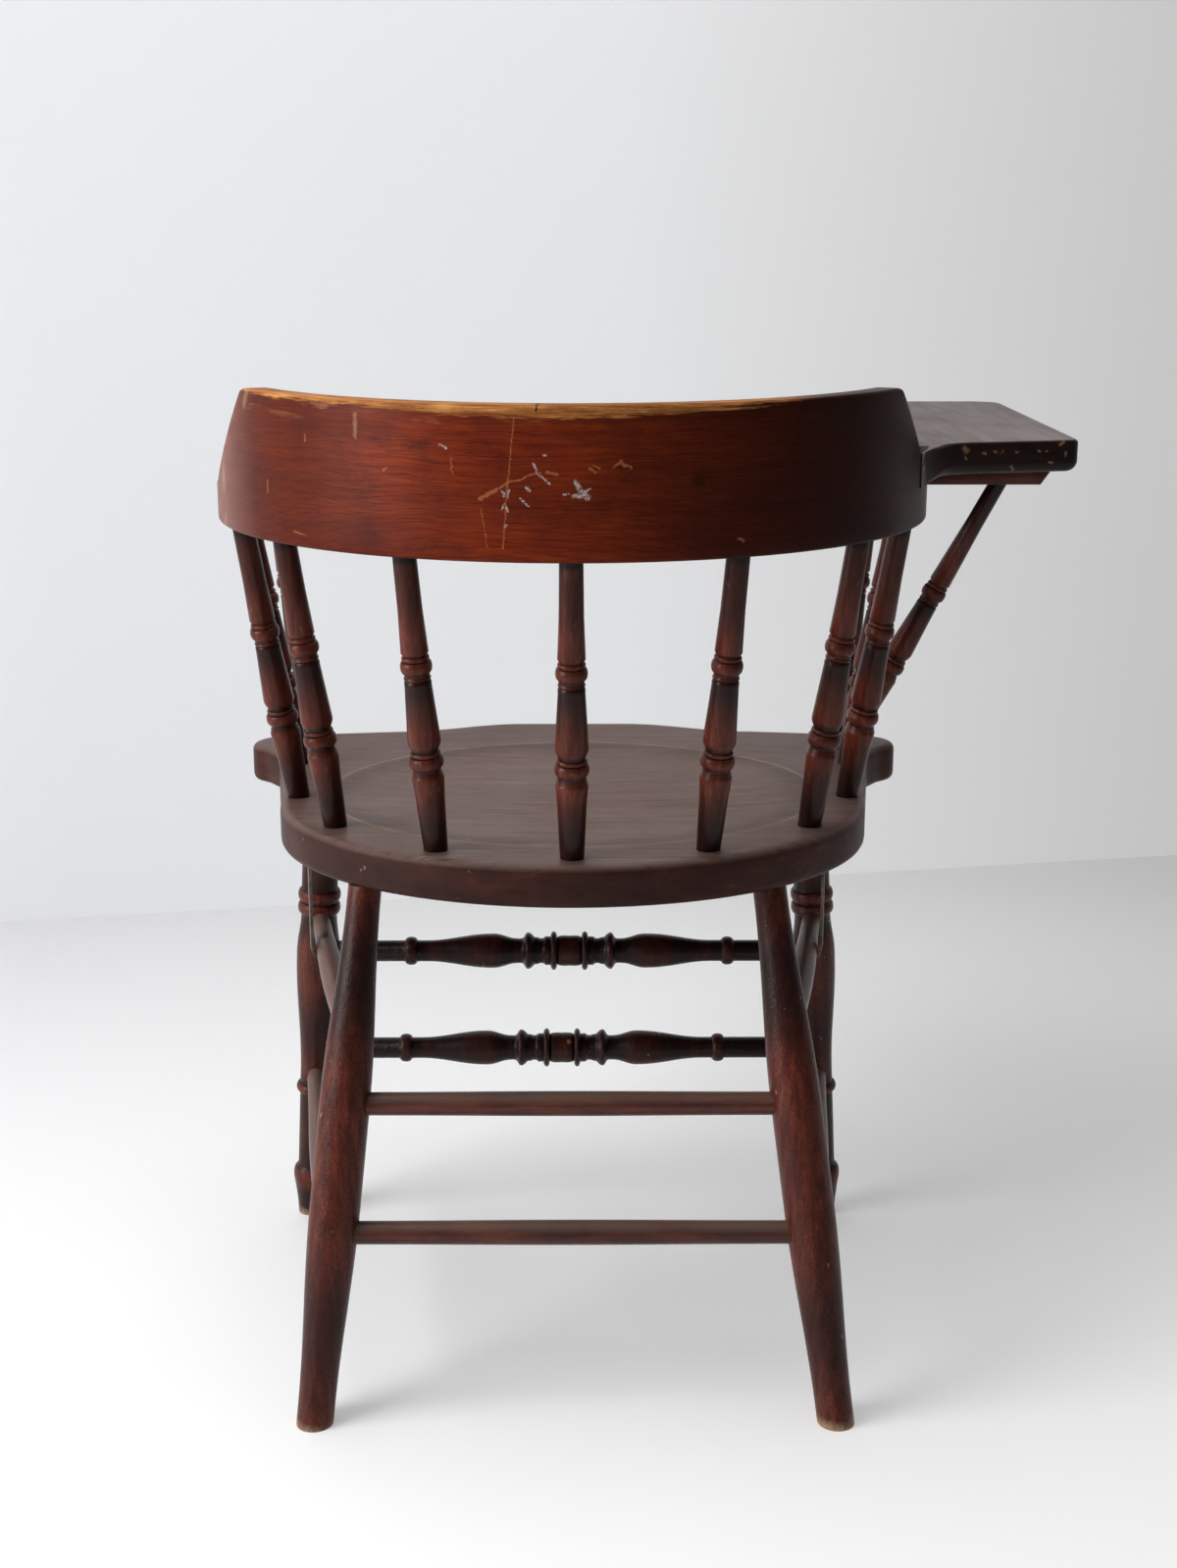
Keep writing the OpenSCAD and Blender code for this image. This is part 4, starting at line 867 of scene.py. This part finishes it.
# The top is laid a paler grey than the edge: partly worn varnish, partly painted sheen.
top = node(t, "ValToRGB", [up], [(0.75, 0.0), (0.98, 1.0)])
edge_tone = pattern(t, at, 25, (1, 1, 2), 5, 0.7)
edge_tone = node(t, "ValToRGB", [edge_tone], [(0.35, "#120807"), (0.6, "#200f0c"), (0.8, "#3a2018")])
worn_and_sheen_top_tone = node(t, "ValToRGB", [grain], [(0.3, "#574c4a"), (0.55, "#706462"), (0.78, "#857976")])
worn_and_sheen_top_tone = tint(t, worn_and_sheen_top_tone, "#55453f", cloud, [(0.4, 0.0), (0.7, 0.5)])
colour = tint(t, edge_tone, worn_and_sheen_top_tone, top)
colour = tint(t, colour, "#9a7a60", chips, [(0.69, 0.0), (0.73, 0.85)])
shake = node(t, "TexNoise", {"Scale": 500, "Detail": 3, "Roughness": 0.7, "Vector": at}).outputs["Color"]
shake = node(t, "VectorMath", [shake, (0.005, 0.005, 0.005), (-0.0025, -0.0025, -0.0025)],
             operation="MULTIPLY_ADD")
shaken = node(t, "SeparateXYZ", [node(t, "VectorMath", [at, shake], operation="ADD")])
out = node(t, "Math", [shaken.outputs["X"], SEAT_OUT], operation="SUBTRACT")
on_edge = node(t, "CombineXYZ", [out, shaken.outputs["Z"]])
edge_chips = [([(-324, 715), (-326, 713)], 2.0), ([(-325, 708), (-326, 706)], 0.6),
              ([(-341, 711), (-343, 710)], 0.9), ([(-350, 712), (-352, 711)], 0.7),
              ([(-357, 711), (-358, 712)], 0.6), ([(-369, 711), (-371, 711)], 0.6),
              ([(-366, 699), (-368, 696)], 1.0), ([(-389, 712), (-390, 711)], 0.7),
              ([(-399, 702), (-402, 701)], 0.7), ([(-408, 716), (-411, 718)], 1.0),
              ([(-413, 710), (-413, 708)], 0.7), ([(-395, 711), (-397, 711)], 0.5)]
behind = node(t, "Math", [shaken.outputs["Y"], SEAT_FORWARD - 0.3], operation="SUBTRACT")
behind = node(t, "ValToRGB", [behind], [(0.0, 0.0), (0.01, 0.9)])
knocked = node(t, "Math", [strokes(t, on_edge, edge_chips, 0.7), behind], operation="MULTIPLY")
colour = tint(t, colour, "#8f6c4c", knocked)
rough = node(t, "ValToRGB", [cloud], [(0.3, 0.4), (0.7, 0.55)])
end_material(t, colour, rough, grain, 0.2, 0.0005, coat=0.05, coat_rough=0.35, grey=0.12)
fix(tablet, tablet_wood, "tablet_stain", "tablet", angle=35)
flat_faces = tablet.modifiers.new("flat_faces", "WEIGHTED_NORMAL")
flat_faces.keep_sharp = True
bpy.ops.object.modifier_apply(modifier="flat_faces")

# The cleat is a plain bar of the legs' wood with its arrises just broken.
bpy.ops.object.select_all(action="DESELECT")
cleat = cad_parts["tablet_cleat"].copy()
cleat.data = cleat.data.copy()
cleat.name = "cleat_bar"
for key in list(cleat.keys()):
    del cleat[key]
bpy.context.scene.collection.objects.link(cleat)
edit(cleat)
bpy.ops.mesh.select_all(action="SELECT")
bpy.ops.mesh.remove_doubles(threshold=0.00001)
bpy.ops.mesh.dissolve_limited(angle_limit=math.radians(2))
bpy.ops.object.mode_set(mode="OBJECT")
bevel = cleat.modifiers.new("arris", "BEVEL")
bevel.width = 0.001
bevel.segments = 2
bevel.angle_limit = math.radians(50)
bpy.ops.object.modifier_apply(modifier="arris")
fix(cleat, rod_wood, "leg_stain", "tablet_cleat")

# The slanting post is turned like the others but slimmer, with its bead groups higher up.
foot, head = mm(-245, 352, SEAT_TOP), mm(-365, 305, TABLET_TOP - TABLET_T - 13)
length = (head - foot).length * 1000
brace = turn("tablet_post", spindle_profile(length, 90, 166, 0.91, 14.2), foot, head,
             seat_high.z - SINK, head.z + SINK)
fix(brace, post_wood, "spindle_stain", "tablet_brace")

# ----------------------------------------------------------------- iron hangers
# A bent strip of old wrought iron is screwed under the seat on each side and hooks
# under the upper side stretcher to hold it up.
iron, t = start_material("old_wrought_iron_dusty")
at = node(t, "TexCoord").outputs["Object"]
cloud = pattern(t, at, 120, (1, 1, 1), 5, 0.65)
colour = node(t, "ValToRGB", [cloud], [(0.3, "#3d332c"), (0.55, "#6d6056"), (0.75, "#8f8276")])
pits = node(t, "Bump", {"Strength": 0.4, "Distance": 0.0005, "Height": cloud})
metal = node(t, "BsdfPrincipled", {"Metallic": 0.6, "Roughness": 0.55, "Base Color": colour, "Normal": pits})
node(t, "OutputMaterial", {"Surface": metal})
for name in ("hanger_left", "hanger_right", "hanger_screws"):
    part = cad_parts[name]
    part.data.materials.clear()
    part.data.materials.append(iron)

# ------------------------------------------------------------ floor, wall, light
# A pale painted floor and a plain pale wall, with soft light from the sitter's left. Both
# are seen from their painted sides only, so the chair can be looked at from all round.


def plane(name, corners, tones, far_glow, near_glow):
    """A flat painted sheet that shows a little brighter than it is lit, more so nearby."""
    bpy.ops.object.select_all(action="DESELECT")
    bpy.ops.mesh.primitive_plane_add(size=1, location=(0, 0, 0))
    piece = bpy.context.object
    piece.name = name
    for vertex, place in zip(piece.data.vertices, corners):
        vertex.co = place
    m, t = start_material(name + "_paint")
    apart = node(t, "SeparateXYZ", [node(t, "TexCoord").outputs["Object"]])
    tone = node(t, "Math", [apart.outputs["X"], -0.4, 0.5], operation="MULTIPLY_ADD")
    tone = node(t, "ValToRGB", [tone], tones)
    ray = node(t, "LightPath").outputs
    seen = node(t, "Math", [ray["Is Glossy Ray"], ray["Is Transmission Ray"]], operation="MAXIMUM")
    seen = node(t, "Math", [ray["Is Camera Ray"], seen], operation="MAXIMUM")
    near = node(t, "MapRange", [apart.outputs["Y"], -1.0, 0.8, far_glow, near_glow])
    strength = node(t, "Math", [seen, near], operation="MULTIPLY")
    paint = node(t, "BsdfPrincipled", {"Roughness": 0.6, "Base Color": tone})
    glow = node(t, "Emission", {"Color": tone, "Strength": strength})
    both = node(t, "AddShader", [paint, glow])
    behind = node(t, "NewGeometry").outputs["Backfacing"]
    sheet = node(t, "MixShader", [behind, both, node(t, "BsdfTransparent")])
    node(t, "OutputMaterial", {"Surface": sheet})
    piece.data.materials.append(m)


left_joint, right_joint = Vector((772.5, 1172.4)), Vector((-893.2, 1483.2))
run = (right_joint - left_joint).normalized()
far_left, far_right = left_joint - run * 3000, right_joint + run * 3000
plane("floor", [mm(4000, -3500, 0), mm(-4000, -3500, 0),
                mm(far_left.x, far_left.y, 0), mm(far_right.x, far_right.y, 0)],
      [(0.2, "#dcdcdd"), (0.5, "#e9e9e9"), (1.0, "#e3e2e1")], 0.06, 0.42)
plane("wall", [mm(far_left.x, far_left.y, 0), mm(far_right.x, far_right.y, 0),
              mm(far_left.x, far_left.y, 3500), mm(far_right.x, far_right.y, 3500)],
      [(0.2, "#cacbce"), (0.5, "#d7d8d9"), (0.8, "#cfcecf")], 0.4, 0.4)

world = bpy.data.worlds.new("studio_air")
bpy.context.scene.world = world
world.use_nodes = True
air = world.node_tree
air.nodes.clear()
sky = node(air, "TexCoord").outputs["Generated"]
lean = node(air, "VectorMath", [sky, (0.55, -0.55, 0.35)], operation="DOT_PRODUCT")
level = node(air, "MapRange", [lean, -0.75, 0.8, 0.06, 0.62])
glow = node(air, "Background", {"Color": "#ffffff", "Strength": level})
node(air, "OutputWorld", {"Surface": glow})


def lamp(name, place, aim, wide, tall, watts):
    bpy.ops.object.select_all(action="DESELECT")
    bpy.ops.object.light_add(type="AREA", location=place)
    light = bpy.context.object
    light.name = name
    light.data.shape = "RECTANGLE"
    light.data.size, light.data.size_y = wide, tall
    light.data.energy = watts
    light.rotation_euler = (aim - Vector(place)).to_track_quat("-Z", "Y").to_euler()


target = mm(0, 150, 450)
lamp("window_left", mm(1850, -650, 1250), target, 1.2, 1.8, 42)
lamp("soft_top", mm(300, 500, 2300), target, 1.5, 1.5, 16)

# The camera stands behind the chair, a little above its back, and looks down at it.
bpy.ops.object.select_all(action="DESELECT")
eye = mm(-6.84, -1494.47, 876.43)
bpy.ops.object.camera_add(location=eye)
camera = bpy.context.object
camera.data.sensor_fit = "HORIZONTAL"
camera.data.sensor_width = 36
camera.data.lens = 63.84
tilt, pan = 0.251905, 0.0036437
look = Vector((-math.sin(pan) * math.cos(tilt), -math.cos(pan) * math.cos(tilt), -math.sin(tilt)))
camera.rotation_euler = look.to_track_quat("-Z", "Y").to_euler()
bpy.context.scene.camera = camera
bpy.context.scene.view_settings.view_transform = "Standard"
